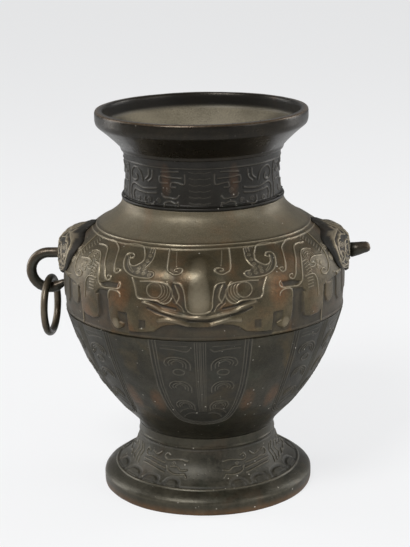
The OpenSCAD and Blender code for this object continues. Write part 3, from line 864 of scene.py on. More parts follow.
def carve_side_fill(sheet):
    """Close small lines between the side hooks."""
    for reach in (2.4, 4.2, 6.0):
        arc_line = round_line((51.6, 57.6), reach, reach, -10, 191, 14, SIDE_DEGREE)
        sheet.thread(arc_line, 0.5, 0.75, smooth=False)
    for step in range(9):
        up = 77 - 2.5 * step
        angle = 57.6 + 0.35 * step
        sheet.thread([(angle, up), (angle + 2.9, up + 2.2)], 0.5, 0.7, smooth=False)
    for step in range(5):
        drop = 2.5 * step
        sheet.thread([(46 + 0.15 * step, 54.5 - drop), (48.6, 55.5 - drop), (49.4, 53.4 - drop)], 0.45, 0.7)
    for step in range(4):
        drop = 2.4 * step
        sheet.thread([(46.2, 40.6 - drop), (49.2, 40.8 - drop)], 0.4, 0.7, smooth=False)
    for middle in ((54.6, 51.5), (56.6, 48.6), (53.8, 47)):
        sheet.spiral(middle, 1.8, 1.5, 0.45, 0.55)
    for middle in ((66, 60), (66, 50), (71, 44), (76, 40), (82, 42), (88, 38)):
        sheet.spiral(middle, 3.6, 1.9, 0.6, 0.8, start=60)
    sheet.thread([(64.5, 38), (70, 36.5), (80, 36.5), (90, 36.5)], 0.7, 0.9)


# Ornament of the lower body: hanging blades

BLADE_PITCH = 60
# Places are [degrees from the blade's middle, millimetres up the wall from the foot's top]
BLADE_HALF = [(20.6, 119), (20.4, 95), (20.2, 75), (19.4, 60), (17.8, 45), (14.8, 33), (9, 27), (0, 24.5)]


def carve_blade(sheet):
    """Half of one hanging blade, from its middle out to the plain strip."""
    edge = smoothed(BLADE_HALF)
    field = np.vstack([[(-3, 130), (20.6, 130)], edge, [(-3, 24.5)]])
    sheet.pad(field, -0.35, 0.8)
    sheet.darken(field, 0.45, 0.8)
    sheet.freeze()
    for inward in (0, 1.7, 3.2):
        shrink = 1 - inward / 24
        sheet.thread(np.stack([edge[:, 0] * shrink, edge[:, 1] + inward * 0.9], 1), 0.6, 0.7, smooth=False)
    for angle in (0.35, 1.25, 2.15):
        sheet.thread([(angle, 118), (angle * 0.9, 60), (angle * 0.85, 44)], 0.4, 0.6, smooth=False)
    for top, middle, half_wide in ((104, 9.8, 5.4), (80, 9.6, 5.0), (58, 8.6, 4.6)):
        carve_blade_motif(sheet, top, middle, half_wide)
    carve_small_eye(sheet, (9.4, 89.5), 4.6, 3.0)
    sheet.thread([(4, 112), (5.6, 109.6), (8, 110.4), (11, 111.6), (16, 112)], 0.45, 0.8)
    sheet.thread([(5, 114.6), (9, 114.9), (16, 115)], 0.35, 0.6)
    sheet.thread([(3.6, 46), (6, 48), (10, 46.4), (12.6, 42)], 0.45, 0.8)
    sheet.thread([(3.2, 41), (5.6, 42), (8.6, 40), (10.6, 36)], 0.4, 0.8)


def carve_blade_motif(sheet, top, middle, half_wide):
    """Nested arches under a flat line, as a stacked cicada motif."""
    for inward, height in ((0, 0.8), (1.9, 0.7), (3.4, 0.6)):
        share = 1 - inward / 6.2
        wide = half_wide * share
        high = top - inward * 0.9
        sheet.thread([(middle - wide, high - 12 * share), (middle - wide * 0.98, high - 6 * share),
                      (middle - wide * 0.55, high - 1.2), (middle + wide * 0.15, high),
                      (middle + wide * 0.75, high - 1.4), (middle + wide, high - 5.5 * share),
                      (middle + wide * 0.86, high - 8.6 * share)], height, 0.8)


def carve_small_eye(sheet, middle, across, along):
    """An oval ring round a swelling with a short groove across it."""
    ring = round_line(middle, across, along, 0, 361, 15, sheet.degree_at(middle[1]))
    sheet.thread(ring, 0.6, 0.9, smooth=False)
    sheet.dome(middle, across * 0.75, along * 0.7, 0.4)
    sheet.groove([(middle[0] - 1.2, middle[1]), (middle[0] + 1.2, middle[1])], 0.6, 0.6, smooth=False)


# Ornament of the neck: places are [degrees from the front, millimetres up from the collar]

NECK_LINES = [
    [(10.5, 32), (11, 24), (16, 24.6), (20.5, 24.8), (21, 21.4), (17.5, 21)],
    [(13, 28.6), (18, 28.8), (24, 29), (29.5, 29.6), (29.8, 24.6), (24, 24.2)],
    [(15, 34), (22, 33.6), (28.5, 33)],
    [(15, 14.6), (17.5, 12), (22, 12.4), (26.5, 12.8), (28.5, 15.4)],
    [(15.2, 5.6), (15.6, 9), (18, 8.2), (21.5, 9.6), (25.5, 8.4), (25.4, 5)],
    [(34.5, 8), (37, 5.6), (41, 5.4), (43.6, 8), (43.8, 11)],
    [(33, 19.6), (40, 18.4), (46, 18), (52, 19.4), (57, 20.4), (61, 18), (62, 12), (60, 7)],
    [(33, 15.6), (42, 14.6), (51, 15.2), (56, 15.8), (58, 12), (56.5, 8)],
    [(46.5, 24), (48, 30), (51.5, 33.4), (56.5, 33.6), (60, 30), (60, 25), (57, 22.6), (53.5, 23.6),
     (52.8, 26.6), (54.4, 28)],
    [(36, 33.4), (37, 27.6), (40.5, 24)],
    [(39.4, 33.6), (40.4, 28.4), (43.6, 25.4)],
    [(65, 36), (64.6, 26), (66, 16), (64.6, 6)],
    [(69, 33), (73.5, 33.4), (75, 29), (72, 26), (69.4, 27.6), (70.4, 30)],
    [(69, 20), (75, 20.6), (80, 18), (80.6, 12), (77, 9), (73.6, 11), (74.6, 14)],
    [(69, 6), (74, 4.6), (82, 5)],
    [(79, 34), (80.4, 28), (85, 24), (90, 23)],
    [(84, 34), (86, 30.6), (90, 30)],
    [(84, 8), (85, 14), (90, 16)]]


def carve_neck(sheet):
    """A quarter of the neck band: blocky scrolls, ridges and small eyes, from the front to the side."""
    for line in NECK_LINES:
        sheet.thread(line, 0.75, 1.05)
    for middle in ((22.5, 18), (39.5, 9.4), (30.6, 9.6), (50.6, 8.4)):
        sheet.spiral(middle, 2.2, 1.5, 0.5, 0.65)
    for up in (8, 13, 18, 23, 28, 33):
        sheet.thread([(-2, up + 1), (3, up), (7.5, up + 1)], 0.35, 0.7)
    sheet.thread([(-5, 36.6), (95, 36.6)], 0.6, 0.9, smooth=False)


# Ornament of the foot: places are [degrees from the front, millimetres up from the band's lower edge]

FOOT_LINES = [
    [(13.4, 13), (15.4, 16), (19, 15), (24, 15.4), (28.5, 17.6), (30.5, 21.4)],
    [(13.8, 20), (18, 19), (22, 21.6), (27.5, 21.4)],
    [(14, 27), (19.5, 28), (25, 27.4), (31, 26.4), (34, 28.6), (32, 31.6), (29, 30.4)],
    [(31, 15), (38, 16.6), (46, 18), (54, 18.4)],
    [(31, 19), (39, 20.4), (47, 21.4), (56, 21.6)],
    [(33, 23.4), (41, 24.4), (48, 25.2), (53, 24.6), (56, 27.4), (54.4, 30.6), (51, 29.4)],
    [(38, 31.6), (42, 28.6), (47, 30)],
    [(60, 15), (62, 20), (61, 26), (64, 31)],
    [(64, 15), (66.4, 21), (65, 27), (68, 31.6)],
    [(69, 16), (73, 20), (71, 25), (75, 30), (79, 28), (77.6, 24.6)],
    [(76, 16), (80, 19), (84, 17), (90, 18)],
    [(81, 24), (85, 22.6), (90, 23.4)],
    [(82, 31), (86, 28.6), (90, 29.6)]]
# Each crescent's middle and half width, and its outlines: distance past the half width, and height
CRESCENTS = ((22.2, 3.6), (38.5, 4.4), (56, 5.4), (74, 5))
CRESCENT_SHADE = ((3, 3), (2.4, 9.4), (0, 12.4))
CRESCENT_HOLLOW = ((2.4, 4), (2, 9), (0, 11.4))


def crescent_outline(middle, half, corners, top):
    """A closed outline, the same on both sides of the middle, with its top point between them."""
    left = [(middle - half - past, up) for past, up in corners]
    right = [(middle + half + past, up) for past, up in corners[::-1]]
    return left + top + right


def carve_foot(sheet):
    """A quarter of the foot band: long feathered lines, and crescents at its lower edge."""
    for middle, half in CRESCENTS:
        sheet.darken(crescent_outline(middle, half, CRESCENT_SHADE, [(middle, 13.4)]), 0.6, 1.0)
        sheet.pad(crescent_outline(middle, half, CRESCENT_HOLLOW, [(middle, 12.4)]), -0.6, 0.9, True)
        shoulders = [(middle - half * 0.5, 9.6), (middle + half * 0.5, 9.6)]
        sheet.pad(crescent_outline(middle, half, ((0, 3), (0, 7.4)), shoulders), 1.0, 0.9, True)
    sheet.freeze()
    for line in FOOT_LINES:
        sheet.thread(line, 0.8, 1.0)
    sheet.spiral((25, 23.8), 1.8, 1.4, 0.6, 0.6)
    sheet.thread([(-5, 1.6), (95, 1.6)], 0.8, 1.0, smooth=False)


def parts_round(sheet, wide, seed):
    """The parts of a whole turn, every second one flipped: the angles and the grids of each."""
    worn, deep = sheet.wear_highlight_and_deep()
    plain = {"height": sheet.height, "worn": worn, "deep": deep, "dust": sheet.dust, "warm": sheet.warm}
    parts = []
    for part in range(round(FULL_TURN / wide)):
        flipped = part % 2 == 1
        angles = part * wide + (wide - sheet.angle[0][::-1] if flipped else sheet.angle[0])
        grids = {key: grid[:, ::-1] if flipped else grid for key, grid in plain.items()}
        grids["height"] = grids["height"] + unevenness(sheet.line, angles, seed)
        parts.append((angles, grids))
    return parts


def joined(parts):
    """Neighbouring parts as one: the column that two of them share is kept once."""
    angles = np.concatenate([parts[0][0]] + [turn[1:] for turn, _ in parts[1:]])
    first = parts[0][1]
    rest = [grids for _, grids in parts[1:]]
    whole = {key: np.concatenate([first[key]] + [grids[key][:, 1:] for grids in rest], 1) for key in first}
    return angles, whole


def add_carved_walls(node, sheet, wide, per_piece, inside, slot, seed):
    """Makes the whole turn of a carved casting, with per_piece parts in each piece."""
    parts = parts_round(sheet, wide, seed)
    for first in range(0, len(parts), per_piece):
        angles, grids = joined(parts[first:first + per_piece])
        label = "%s_%d" % (node, first // per_piece + 1)
        if per_piece == len(parts):
            angles = angles[:-1]
            grids = {key: grid[:, :-1] for key, grid in grids.items()}
            label = node
        mesh = turned(label, sheet.line, inside, angles, grids.pop("height"), grids)
        add_piece(mesh, slot, "vessel", node)


# Castings

def node_top(node):
    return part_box(node)[1][2] / MM


FOOT_TOP = node_top("foot_ring")
WAIST = node_top("lower_body")
NECK_FOOT = node_top("upper_body")
MOUTH_FOOT = node_top("neck_collar")
RIM_TOP = node_top("mouth_rim")
SEAM_GAP = 0.12
SPIGOT = 6
BEAD = 3.5
# Outlines are read this far over the waist, clear of the seam's own levels
ABOVE_WAIST = 4
WAIST_LINE_UP = 1.3
WAIST_LINE_HEIGHT = 0.6
LOWER_STEP = 0.62
# The foot: the greatest radius inside it, then heights of its band, groove, crease with its painted
# highlight line, warm edge and collar
FOOT_BORE = 82.5
FOOT_STEP = 0.7
BAND_FOOT = 17
FLANGE_GROOVE = 18.6
FLANGE_HIGHLIGHT_LINE = 9.6
WARM_EDGE = 7
COLLAR_DROP = 8
MOUTH_COLUMNS = 480


def spigot(node, seam, inner):
    """The inside of a casting: from its seam down round its spigot, up over the bead, then along inner."""
    lap = outline(node, seam - SPIGOT - 0.5, seam - SPIGOT + 0.5)[0, 0]
    bore = outline(node, seam - SPIGOT - 0.5, seam - SPIGOT + 0.5, -1)[0, 0]
    low = [(lap, seam), (lap, seam - SPIGOT), (bore, seam - SPIGOT), (bore, seam + BEAD)]
    return np.vstack([low, inner[inner[:, 1] > seam + BEAD]])


def bump_at(level, middle, half):
    """1 at a height and fading to 0 on both sides of it."""
    return np.exp(-((level - middle) / half) ** 2)


def build_upper_body():
    waist_radius = outline("lower_body", WAIST - 0.1, WAIST + 0.1)[-1]
    above_line = outline("upper_body", WAIST + ABOVE_WAIST, NECK_FOOT)
    outside = eased(np.vstack([[(waist_radius[0], WAIST + SEAM_GAP)], above_line]), CARVED_STEP, 3.3)
    inside = spigot("upper_body", WAIST, spaced(offset(outside, -WALL), 4))
    sheet = Carving(outside, QUARTER)
    carve_face(sheet)
    sheet.fade(58, 84, 0.5)
    sheet.height += WAIST_LINE_HEIGHT * np.exp(-(sheet.up - WAIST_LINE_UP) ** 4)
    add_carved_walls("upper_body", sheet, QUARTER, 1, inside, "body_bronze", 11)


def build_lower_body():
    outside = eased(outline("lower_body", FOOT_TOP, WAIST), LOWER_STEP, 3.1)
    inside = spigot("lower_body", FOOT_TOP, spaced(offset(outside, -WALL), 4))
    sheet = Carving(outside, BLADE_PITCH / 2, LOWER_STEP)
    carve_blade(sheet)
    sheet.glow((23, 55), 7, 16, 0.55)
    add_carved_walls("lower_body", sheet, BLADE_PITCH / 2, 4, inside, "lower_bronze", 23)


def build_neck():
    outside = eased(outline("neck_collar", NECK_FOOT, MOUTH_FOOT), CARVED_STEP, 0.8)
    inner = eased(outline("neck_collar", NECK_FOOT + SPIGOT, MOUTH_FOOT), 1, 1)
    inside = spigot("neck_collar", NECK_FOOT, spaced(offset(inner, -WALL), 6))
    sheet = Carving(outside, QUARTER)
    carve_neck(sheet)
    sheet.glow((25, 26), 5, 16, 0.45)
    sheet.shade = np.maximum(sheet.shade, 0.3)
    add_carved_walls("neck_collar", sheet, QUARTER, 4, inside, "neck_bronze", 31)


def build_foot():
    outside = eased(outline("foot_ring", 0, FOOT_TOP), CARVED_STEP, 0.9)
    band_start = run_along(outside)[np.argmin(np.abs(outside[:, 1] - BAND_FOOT))]
    inside = np.stack([outside[::8, 0] - WALL, outside[::8, 1]], 1)
    inside[:, 0] = np.minimum(inside[:, 0], FOOT_BORE)
    sheet = Carving(outside, QUARTER, FOOT_STEP)
    sheet.up = sheet.up - band_start
    carve_foot(sheet)
    level = outside[:, 1:]
    collar = FOOT_TOP - COLLAR_DROP
    sheet.height += 0.55 * bump_at(level, collar, 0.8) - 0.5 * bump_at(level, collar - 2, 0.7)
    sheet.height -= 0.5 * bump_at(level, FLANGE_GROOVE, 0.6)
    # Painted shadow in the flange's groove
    sheet.shade = np.maximum(sheet.shade, 0.8 * bump_at(level, FLANGE_GROOVE, 0.7))
    band = ease((level - BAND_FOOT) / 2) * ease((collar - level) / 2)
    sheet.shade = np.maximum(sheet.shade, 0.35 * band)
    sheet.warm = np.maximum(sheet.warm, 0.75 * ease((WARM_EDGE - level) / 6))
    # Painted highlight line along the crease at the flange's edge
    sheet.crest = np.maximum(sheet.crest, 0.5 * bump_at(level, FLANGE_HIGHLIGHT_LINE, 0.8))
    add_carved_walls("foot_ring", sheet, QUARTER, 2, inside, "foot_bronze", 41)


def build_mouth():
    outside = eased(outline("mouth_rim", MOUTH_FOOT, RIM_TOP), PLAIN_STEP, 0.6)
    inner = eased(outline("mouth_rim", MOUTH_FOOT + BEAD + 0.5, RIM_TOP, -1), 1.0, 1.0)
    inside = spigot("mouth_rim", MOUTH_FOOT, inner)
    angles = np.linspace(0, FULL_TURN, MOUTH_COLUMNS, endpoint=False)
    relief = unevenness(outside, angles, 51, 0.04, 0.15)
    # The top of the rim's outside is painted paler, for wear and a painted highlight along the lip
    lip = np.clip((outside[:, 1:] - RIM_TOP + 1.5) / 1.5, 0, 1) * 0.6 + 0 * relief
    mesh = turned("mouth_rim", outside, inside, angles, relief, {"worn": lip})
    turn = np.radians(angles)[None, :]
    level = inside[::-1, 1:] - RIM_TOP
    patches = waves(80 * np.sin(turn), -80 * np.cos(turn), level + 0 * turn, 34, 57)
    # Dust lies deep in the throat, and the band between it and the lip is dark
    low = ease((-level - 9) / 5)
    dusty = low * np.clip(0.62 + 0.22 * patches, 0.2, 0.95)
    dark = (1 - low) * ease((-level - 1) / 2) * 0.8 + 0 * patches
    for name, inner_values in (("dust", dusty), ("deep", dark)):
        values = np.vstack([0 * relief, inner_values])
        mesh.attributes[name].data.foreach_set("value", values.astype(np.float32).ravel())
    add_piece(mesh, "rim_bronze", "vessel", "mouth_rim")


# Beast masks on the shoulder

MASK_HALF_WIDE = 44
MASK_HALF_HIGH = 22.2
MASK_DROP = 43.7
MASK_TAB = 3.8
MASK_BROW = 6.8
MASK_CHIN = 2.0
MASK_GAP = 0.1
SNOUT_RADIUS = 8
SNOUT_OUT = 0.8
# Share of a mask's height, up from its middle, where it is thickest
MASK_BROW_SHARE = 0.15
MASK_RINGS = 84
MASK_RELIEF = 0.8
LOOP_DROP = 19.7
LOOP_RADIUS = 15.1
MASK_MIDDLE = NECK_FOOT - MASK_DROP
LOOP_MIDDLE = MASK_MIDDLE - LOOP_DROP
ROOT = LOOP_MIDDLE + LOOP_RADIUS
MASK_SHAPE = [(0, 1), (0.13, 0.99), (0.21, 0.84), (0.36, 0.74), (0.6, 0.68), (0.82, 0.58), (0.96, 0.38),
              (1, 0.08), (0.95, -0.26), (0.8, -0.5), (0.58, -0.62), (0.36, -0.68), (0.22, -0.78),
              (0.13, -0.93), (0, -1)]
# Scrolls round the eye, and those that fill the ground, from a mask's middle
EYE_SCROLLS = ((11.6, 2), (26.6, 6.4), (24.4, -6.6))
GROUND_SCROLLS = ((38.6, 7.6), (39.4, -3.6), (33.4, -10.4), (30.6, 6.4), (19, -8.2), (12.8, -16), (36, 1.6))
# Raised lines of one half of a mask, from its middle, each with its height and half width
MASK_LINES = [
    ([(2.4, 21), (2.2, 16), (2.6, 11), (3.6, 6.5), (5.4, 4.2), (7.2, 5.4), (6.8, 7.6), (5.4, 7.4)],
     1.2, 1.2),
    ([(5.2, 19), (5, 15.4), (6, 12.4), (9.6, 11), (15, 12.6), (21, 13.2), (26.4, 11.2)], 1.1, 1.1),
    ([(8, 15.4), (14, 15.6), (22, 15.6), (30, 14), (36.6, 11), (40.6, 5.6), (41, -0.6), (37.6, -5.2),
      (32.6, -5.6), (29.6, -2.2), (31, 2), (34.6, 2.6), (36, -0.2), (33.8, -2)], 1.3, 1.25),
    ([(28, 9.6), (33.6, 8.6), (37.2, 4.4)], 0.9, 1.0),
    ([(9.2, 0.6), (10.6, 5.2), (14.6, 8), (19.6, 8), (23.6, 5.2), (25.6, 1), (23, -2.8), (18, -4.4),
      (12.6, -3.6), (9.2, 0.6)], 1.1, 1.1),
    ([(13, 1.4), (15.4, 4.4), (19, 4.4), (21.4, 1.8), (19, -0.8), (15.4, -0.8), (13, 1.4)], 0.8, 0.9),
    ([(8.6, -8.6), (12, -7.6), (17, -8.4), (23, -10), (28.4, -10.6), (33.6, -9)], 1.1, 1.1),
    ([(9, -12.6), (13.6, -11.6), (18.6, -12.6), (20.6, -10.4), (18.4, -9.6)], 0.8, 0.9),
    ([(26, -7), (27.6, -3.4), (26.6, 1)], 0.7, 0.9),
    ([(4.6, -15), (6.2, -17.6), (3.4, -20)], 0.8, 1.0)]


class Plaque(Carving):
    """Carving on a flat fan of points: distance across from the middle, height over the middle."""

    def __init__(self, across, above):
        self.angle = across
        self.up = above
        self.per_degree = np.ones((len(above), 1))
        self.set_blank(across.shape)

    def window(self, path, margin):
        """The whole fan, because its rows aren't level."""
        return slice(None), slice(None)

    def dot_scroll(self, middle):
        """A small scroll of one and a half turns."""
        turn = np.linspace(0, 3 * math.pi, 30)
        reach = 2.3 * (1 - 0.8 * turn / turn[-1])
        path = np.stack([middle[0] + reach * np.cos(turn), middle[1] + reach * np.sin(turn)], 1)
        self.thread(path, 0.5, 0.6, smooth=False)


def mask_thickness(height):
    """How thick a mask is at a height over its middle: greatest at the brow, thin at its top and chin."""
    brow = MASK_BROW_SHARE * 2 * MASK_HALF_HIGH
    above = MASK_BROW - ((height - brow) / (MASK_HALF_HIGH - brow)) ** 2 * (MASK_BROW - MASK_TAB)
    share = np.clip((height + MASK_HALF_HIGH) / (brow + MASK_HALF_HIGH), 0, 1)
    return np.where(height > brow, above, MASK_CHIN + share * (MASK_BROW - MASK_CHIN))


def snout_front(wall):
    """How far the front of the snout's boss, where the rod comes out, is from the axis."""
    return radius_at(wall, ROOT) + MASK_GAP + float(mask_thickness(ROOT - MASK_MIDDLE)) + SNOUT_OUT


def carve_mask(sheet):
    """A beast's face round the loop's root: nose bridge, brows that end in horns, eyes in frames, jaw."""
    sheet.dome((0, 3), 6.5, 16, 0.9)
    sheet.dome((17.3, 1.8), 9, 6.4, -0.5)
    sheet.freeze()
    for line, height, half in MASK_LINES:
        sheet.thread(line, height * MASK_RELIEF, half)
    for middle in EYE_SCROLLS:
        sheet.dot_scroll(middle)
    sheet.dome((17.3, 1.8), 3.4, 2.5, 1.1, 0.7)
    half = smoothed(np.array(MASK_SHAPE[2:14]) * (MASK_HALF_WIDE, MASK_HALF_HIGH), 8)
    for share, height in ((0.95, 0.9), (0.83, 0.7)):
        sheet.thread(half * share, height, 1.0, smooth=False)
    for middle in GROUND_SCROLLS:
        sheet.dot_scroll(middle)
    snout = np.hypot(sheet.angle, sheet.up - (ROOT - MASK_MIDDLE))
    sheet.crest *= snout > SNOUT_RADIUS - 0.5


def build_mask(name, side, wall):
    """A cast plaque that follows the wall: a fan of points over its outline, with a side face and a back."""
    half = smoothed(np.array(MASK_SHAPE) * (MASK_HALF_WIDE, MASK_HALF_HIGH), 14)
    half = spaced(half, 0.6)
    whole = np.vstack([half, (half * (-1, 1))[-2:0:-1]])
    share = np.linspace(0.012, 1, MASK_RINGS)[:, None]
    across = share * whole[None, :, 0]
    above = share * whole[None, :, 1]
    sheet = Plaque(np.abs(across), above)
    carve_mask(sheet)
    edge = 0.5 * (1 - ease((1 - share) * np.hypot(*whole.T)[None] / 1.6))
    level = above + MASK_MIDDLE
    radius = radius_at(wall, level)
    slope = np.interp(level, wall[:, 1], np.gradient(wall[:, 0], wall[:, 1]))
    stretch = np.sqrt(1 + slope ** 2)
    grain = 0.1 * waves(across, above, 0 * above, 9, 61 + side)
    thinned = 1 - 0.42 * ease((np.abs(across) - 12) / 30)
    lift = (mask_thickness(above) * thinned + sheet.height - 0.3 + grain - edge * 1.6) * stretch
    front = np.sqrt((radius + MASK_GAP + lift) ** 2 - across ** 2)
    boss = ease(SNOUT_RADIUS + 0.6 - np.hypot(across, level - ROOT))
    front = np.where(boss > 0, front + boss * (snout_front(wall) - front), front)
    back = np.sqrt((radius + MASK_GAP) ** 2 - across ** 2)
    reverse = slice(None, None, -12)
    x = np.vstack([front, 0.5 * (front[-1:] + back[-1:]), back[reverse]])
    y = np.vstack([across, across[-1:], across[reverse]])
    z = np.vstack([level, level[-1:], level[reverse]])
    rows, columns = x.shape
    points = np.stack([side * x, side * y, z], -1).reshape(-1, 3)
    row = np.arange(rows - 1)[:, None] * columns
    column = np.arange(columns)[None, :]
    after = (column + 1) % columns
    below = row + columns
    quads = np.stack([row + after, below + after, below + column, row + column], -1).reshape(-1, 4)
    caps = [np.arange(columns)[::-1], (rows - 1) * columns + np.arange(columns)]
    mesh = make_mesh(name, points, quads, caps)
    worn = np.zeros((rows, columns))
    deep = np.zeros((rows, columns))
    # The rounded edge is painted less pale and darker, and the side face and back fully dark, as painted
    # shade; the ground between the raised lines is dark, the snout's boss not
    worn[:len(share)] = np.clip(sheet.crest - 0.6 * edge, 0, 1)
    deep[:len(share)] = np.clip(0.8 - 1.5 * sheet.crest - 2 * boss + edge, 0, 1)
    deep[len(share):] = 1.0
    paint(mesh, worn=worn, deep=deep)
    add_piece(mesh, "mask_bronze", "vessel", name)


# Loops and ring

LOOP_OUT = 12.7
ROD = 4.35
TENON = 3.4
TAIL_ANGLE = 28
TAIL = 2.6
RING_RADIUS = 23.1
RING_ROD = 3.15
RING_TURN = 7
BAR_CORNERS = 40
RING_CORNERS = 36
# The bars' lumpy surface: lumps in a metre, and the level of the pattern that stays in place
LUMPS = 110
LUMP_MIDDLE = 0.62


def rod_tree():
    """Geometry nodes that sweep a round bar along a line of points, each with its own radius."""
    tree = bpy.data.node_groups.new("swept_bar", "GeometryNodeTree")
    for name, kind in (("Line", "Geometry"), ("Corners", "Int"), ("Unevenness", "Float"),
                       ("Finish", "Material")):
        tree.interface.new_socket(name, in_out="INPUT", socket_type="NodeSocket" + kind)
    tree.interface.new_socket("Bar", in_out="OUTPUT", socket_type="NodeSocketGeometry")
    nodes = Nodes(tree)
    given = nodes.node("NodeGroupInput").outputs
    stored = nodes.node("GeometryNodeInputNamedAttribute", {"data_type": "FLOAT"}, Name="thickness")
    thick = stored.outputs[0]
    line = nodes.node("GeometryNodeMeshToCurve", {}, Mesh=given["Line"])
    sized = nodes.node("GeometryNodeSetCurveRadius", {}, Curve=line.outputs[0], Radius=thick)
    circle = nodes.node("GeometryNodeCurvePrimitiveCircle", {}, Resolution=given["Corners"], Radius=1)
    sweep = nodes.node("GeometryNodeCurveToMesh", {}, Curve=sized.outputs[0],
                       Profile_Curve=circle.outputs[0], Scale=thick, Fill_Caps=True)
    cloud = nodes.value(nodes.node("ShaderNodeTexNoise", {}, Scale=LUMPS, Detail=2))
    lump = (cloud - LUMP_MIDDLE) * Value(nodes, given["Unevenness"])
    normal = nodes.node("GeometryNodeInputNormal")
    shift = nodes.node("ShaderNodeVectorMath", {"operation": "SCALE"}, Vector=normal.outputs[0],
                       Scale=lump)
    moved = nodes.node("GeometryNodeSetPosition", {}, Geometry=sweep.outputs[0], Offset=shift.outputs[0])
    soft = nodes.node("GeometryNodeSetShadeSmooth", {}, Geometry=moved.outputs[0])
    real = nodes.node("GeometryNodeRealizeInstances", {}, Geometry=soft.outputs[0])
    coat = nodes.node("GeometryNodeSetMaterial", {}, Geometry=real.outputs[0], Material=given["Finish"])
    nodes.node("NodeGroupOutput", {}, Bar=coat.outputs[0])
    return tree


def sweep_bar(name, tree, path, radii, corners, uneven, finish, closed=False):
    """A mesh of a bar along path, both in millimetres, made by the geometry nodes."""
    count = len(path)
    edges = [(i, i + 1) for i in range(count - 1)] + ([(count - 1, 0)] if closed else [])
    line = bpy.data.meshes.new(name + "_line")
    line.from_pydata([tuple(point) for point in np.asarray(path) * MM], edges, [])
    thickness = line.attributes.new("thickness", "FLOAT", "POINT")
    thickness.data.foreach_set("value", (np.asarray(radii) * MM).astype(np.float32))
    holder = bpy.data.objects.new(name + "_line", line)
    bpy.context.scene.collection.objects.link(holder)
    modifier = holder.modifiers.new("swept_bar", "NODES")
    modifier.node_group = tree
    values = {"Corners": corners, "Unevenness": uneven * MM, "Finish": finish}
    for item in tree.interface.items_tree:
        if item.in_out == "INPUT" and item.name in values:
            modifier[item.identifier] = values[item.name]
    bpy.context.view_layer.update()
    mesh = bpy.data.meshes.new_from_object(holder.evaluated_get(bpy.context.evaluated_depsgraph_get()))
    mesh.name = name
    holder.modifiers.clear()
    bpy.data.objects.remove(holder)
    bpy.data.meshes.remove(line)
    return mesh


def tint_by_facing_and_add(mesh, slot, body, node, towards):
    """Makes the faces that turn towards a direction paler and warmer, and those that turn away darker, and
    puts the bar in the scene.
    """
    normals = np.empty(len(mesh.vertices) * 3)
    mesh.vertices.foreach_get("normal", normals)
    facing = normals.reshape(-1, 3) @ np.array(towards)
    mesh.materials.clear()
    paint(mesh, worn=np.clip((facing - 0.55) * 1.2, 0, 0.6), deep=np.clip(-facing - 0.7, 0, 0.6),
          warm=np.clip(facing * 0.5 - 0.1, 0, 0.4))
    add_piece(mesh, slot, body, node)


def arc(middle, radius, start, end, step=7):
    turn = np.radians(np.arange(start, end + 0.01, step))
    return [(middle[0] + radius * math.sin(t), middle[1] + radius * math.cos(t)) for t in turn]


def tenon_path(wall):
    """The bar through the wall: its hammered head inside, the tenon, then the rod in front of the mask."""
    inner = radius_at(wall, ROOT) - WALL - 3
    front = snout_front(wall)
    places = [inner - 2.2, inner - 2.1, inner - 1.4, inner - 0.9, inner - 0.7, front - 0.2, front]
    radii = [3.6, 4.6, 4.9, 4.6, TENON, TENON, ROD + 0.5]
    return [(place, ROOT) for place in places], radii, front


def build_loop(tree, wall):
    """The left loop, from its root round the bend to its tail. Returns the distance of its bend's middle."""
    slot = "handle_bronze"
    reach = radius_at(wall, LOOP_MIDDLE) + LOOP_OUT
    path, radii, front = tenon_path(wall)
    path += [(front + 0.7, ROOT), (reach - 1.5, ROOT)]
    radii += [ROD, ROD]
    bend = arc((reach, LOOP_MIDDLE), LOOP_RADIUS, 0, 180 + TAIL_ANGLE)
    path += bend
    radii += [ROD + 0.1 * math.sin(3.1 * i) for i in range(len(bend))]
    tail_wall = radius_at(wall, LOOP_MIDDLE - 0.7 * LOOP_RADIUS)
    start = np.array(bend[-1])
    way = np.array([-math.cos(math.radians(TAIL_ANGLE)), math.sin(math.radians(TAIL_ANGLE))])
    run = (start[0] - tail_wall - 1.6) / -way[0]
    for share in (0.25, 0.5, 0.8, 1.0):
        path.append(tuple(start + way * run * share))
        radii.append(ROD - 1.4 * share)
    path += [(tail_wall - 0.9, path[-1][1]), (tail_wall - 1.7, path[-1][1])]
    radii += [TAIL, TAIL]
    places = [(-x, 0, z) for x, z in path]
    mesh = sweep_bar("left_loop", tree, places, radii, BAR_CORNERS, 0.35, BRONZES[slot])
    tint_by_facing_and_add(mesh, slot, "vessel", "left_loop", (-0.8, -0.3, 0.5))
    return reach


# The stub past the snout: out from the wall at the root, up from the root, and radius
STUB_TIP = [(13, 1.0, 5.5), (16.5, 1.9, 5.0), (19.5, 2.4, 4.6), (21.6, 2.5, 3.6), (22.6, 2.7, 1.6)]


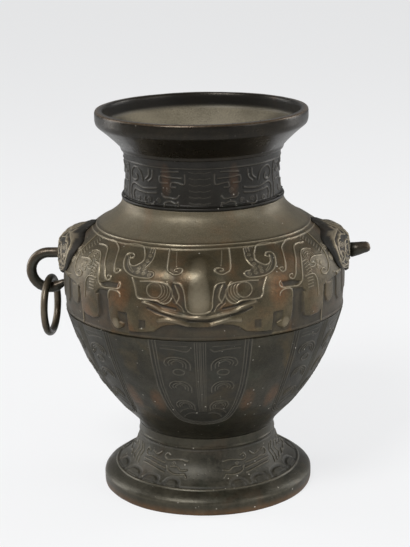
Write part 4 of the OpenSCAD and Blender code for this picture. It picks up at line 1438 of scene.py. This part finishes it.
def build_stub(tree, wall):
    slot = "handle_bronze"
    path, radii, front = tenon_path(wall)
    path.append((front + 0.8, ROOT))
    radii.append(6.3)
    for out_by, up_by, radius in STUB_TIP:
        path.append((radius_at(wall, ROOT) + out_by, ROOT + up_by))
        radii.append(radius)
    places = [(x, 0, z) for x, z in path]
    mesh = sweep_bar("right_loop_stub", tree, places, radii, BAR_CORNERS, 0.7, BRONZES[slot])
    tint_by_facing_and_add(mesh, slot, "vessel", "right_loop_stub", (0.8, -0.2, 0.55))


def build_ring(tree, reach):
    """The loose ring, hanging from the loop and turned a little about the upright."""
    slot = "ring_bronze"
    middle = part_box("left_ring")[0][2] / MM + RING_ROD + RING_RADIUS
    turn = np.radians(np.arange(0, FULL_TURN, 4))
    aside = math.radians(RING_TURN)
    flat = RING_RADIUS * np.sin(turn)
    up = middle + RING_RADIUS * np.cos(turn)
    places = np.stack([-reach + flat * math.sin(aside), flat * math.cos(aside), up], 1)
    radii = RING_ROD - 0.06 + 0.05 * np.sin(turn * 2 + 1) + 0.03 * np.sin(turn * 5)
    mesh = sweep_bar("left_ring", tree, places, radii, RING_CORNERS, 0.25, BRONZES[slot], closed=True)
    tint_by_facing_and_add(mesh, slot, "ring", "left_ring", (-0.4, -0.8, 0.4))


# CAD nodes that stay as they are, hidden inside the vessel, with their finishes
KEPT_NODES = {"base_plate": "lower_bronze", "left_mask_rivets": "mask_bronze",
              "right_mask_rivets": "mask_bronze"}


def finish_kept_nodes():
    for node, slot in KEPT_NODES.items():
        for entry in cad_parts[node].material_slots:
            entry.material = BRONZES[slot]


def main():
    bpy.context.scene.view_settings.view_transform = "Standard"
    add_camera()
    add_lights()
    set_world()
    add_floor()
    build_mouth()
    build_neck()
    build_upper_body()
    build_lower_body()
    build_foot()
    wall = outline("upper_body", WAIST + ABOVE_WAIST, NECK_FOOT)
    wall = eased(wall[wall[:, 1] < NECK_FOOT - 0.5], 0.5, 1.5)
    build_mask("left_mask", -1, wall)
    build_mask("right_mask", 1, wall)
    tree = rod_tree()
    reach = build_loop(tree, wall)
    build_stub(tree, wall)
    build_ring(tree, reach)
    finish_kept_nodes()


main()
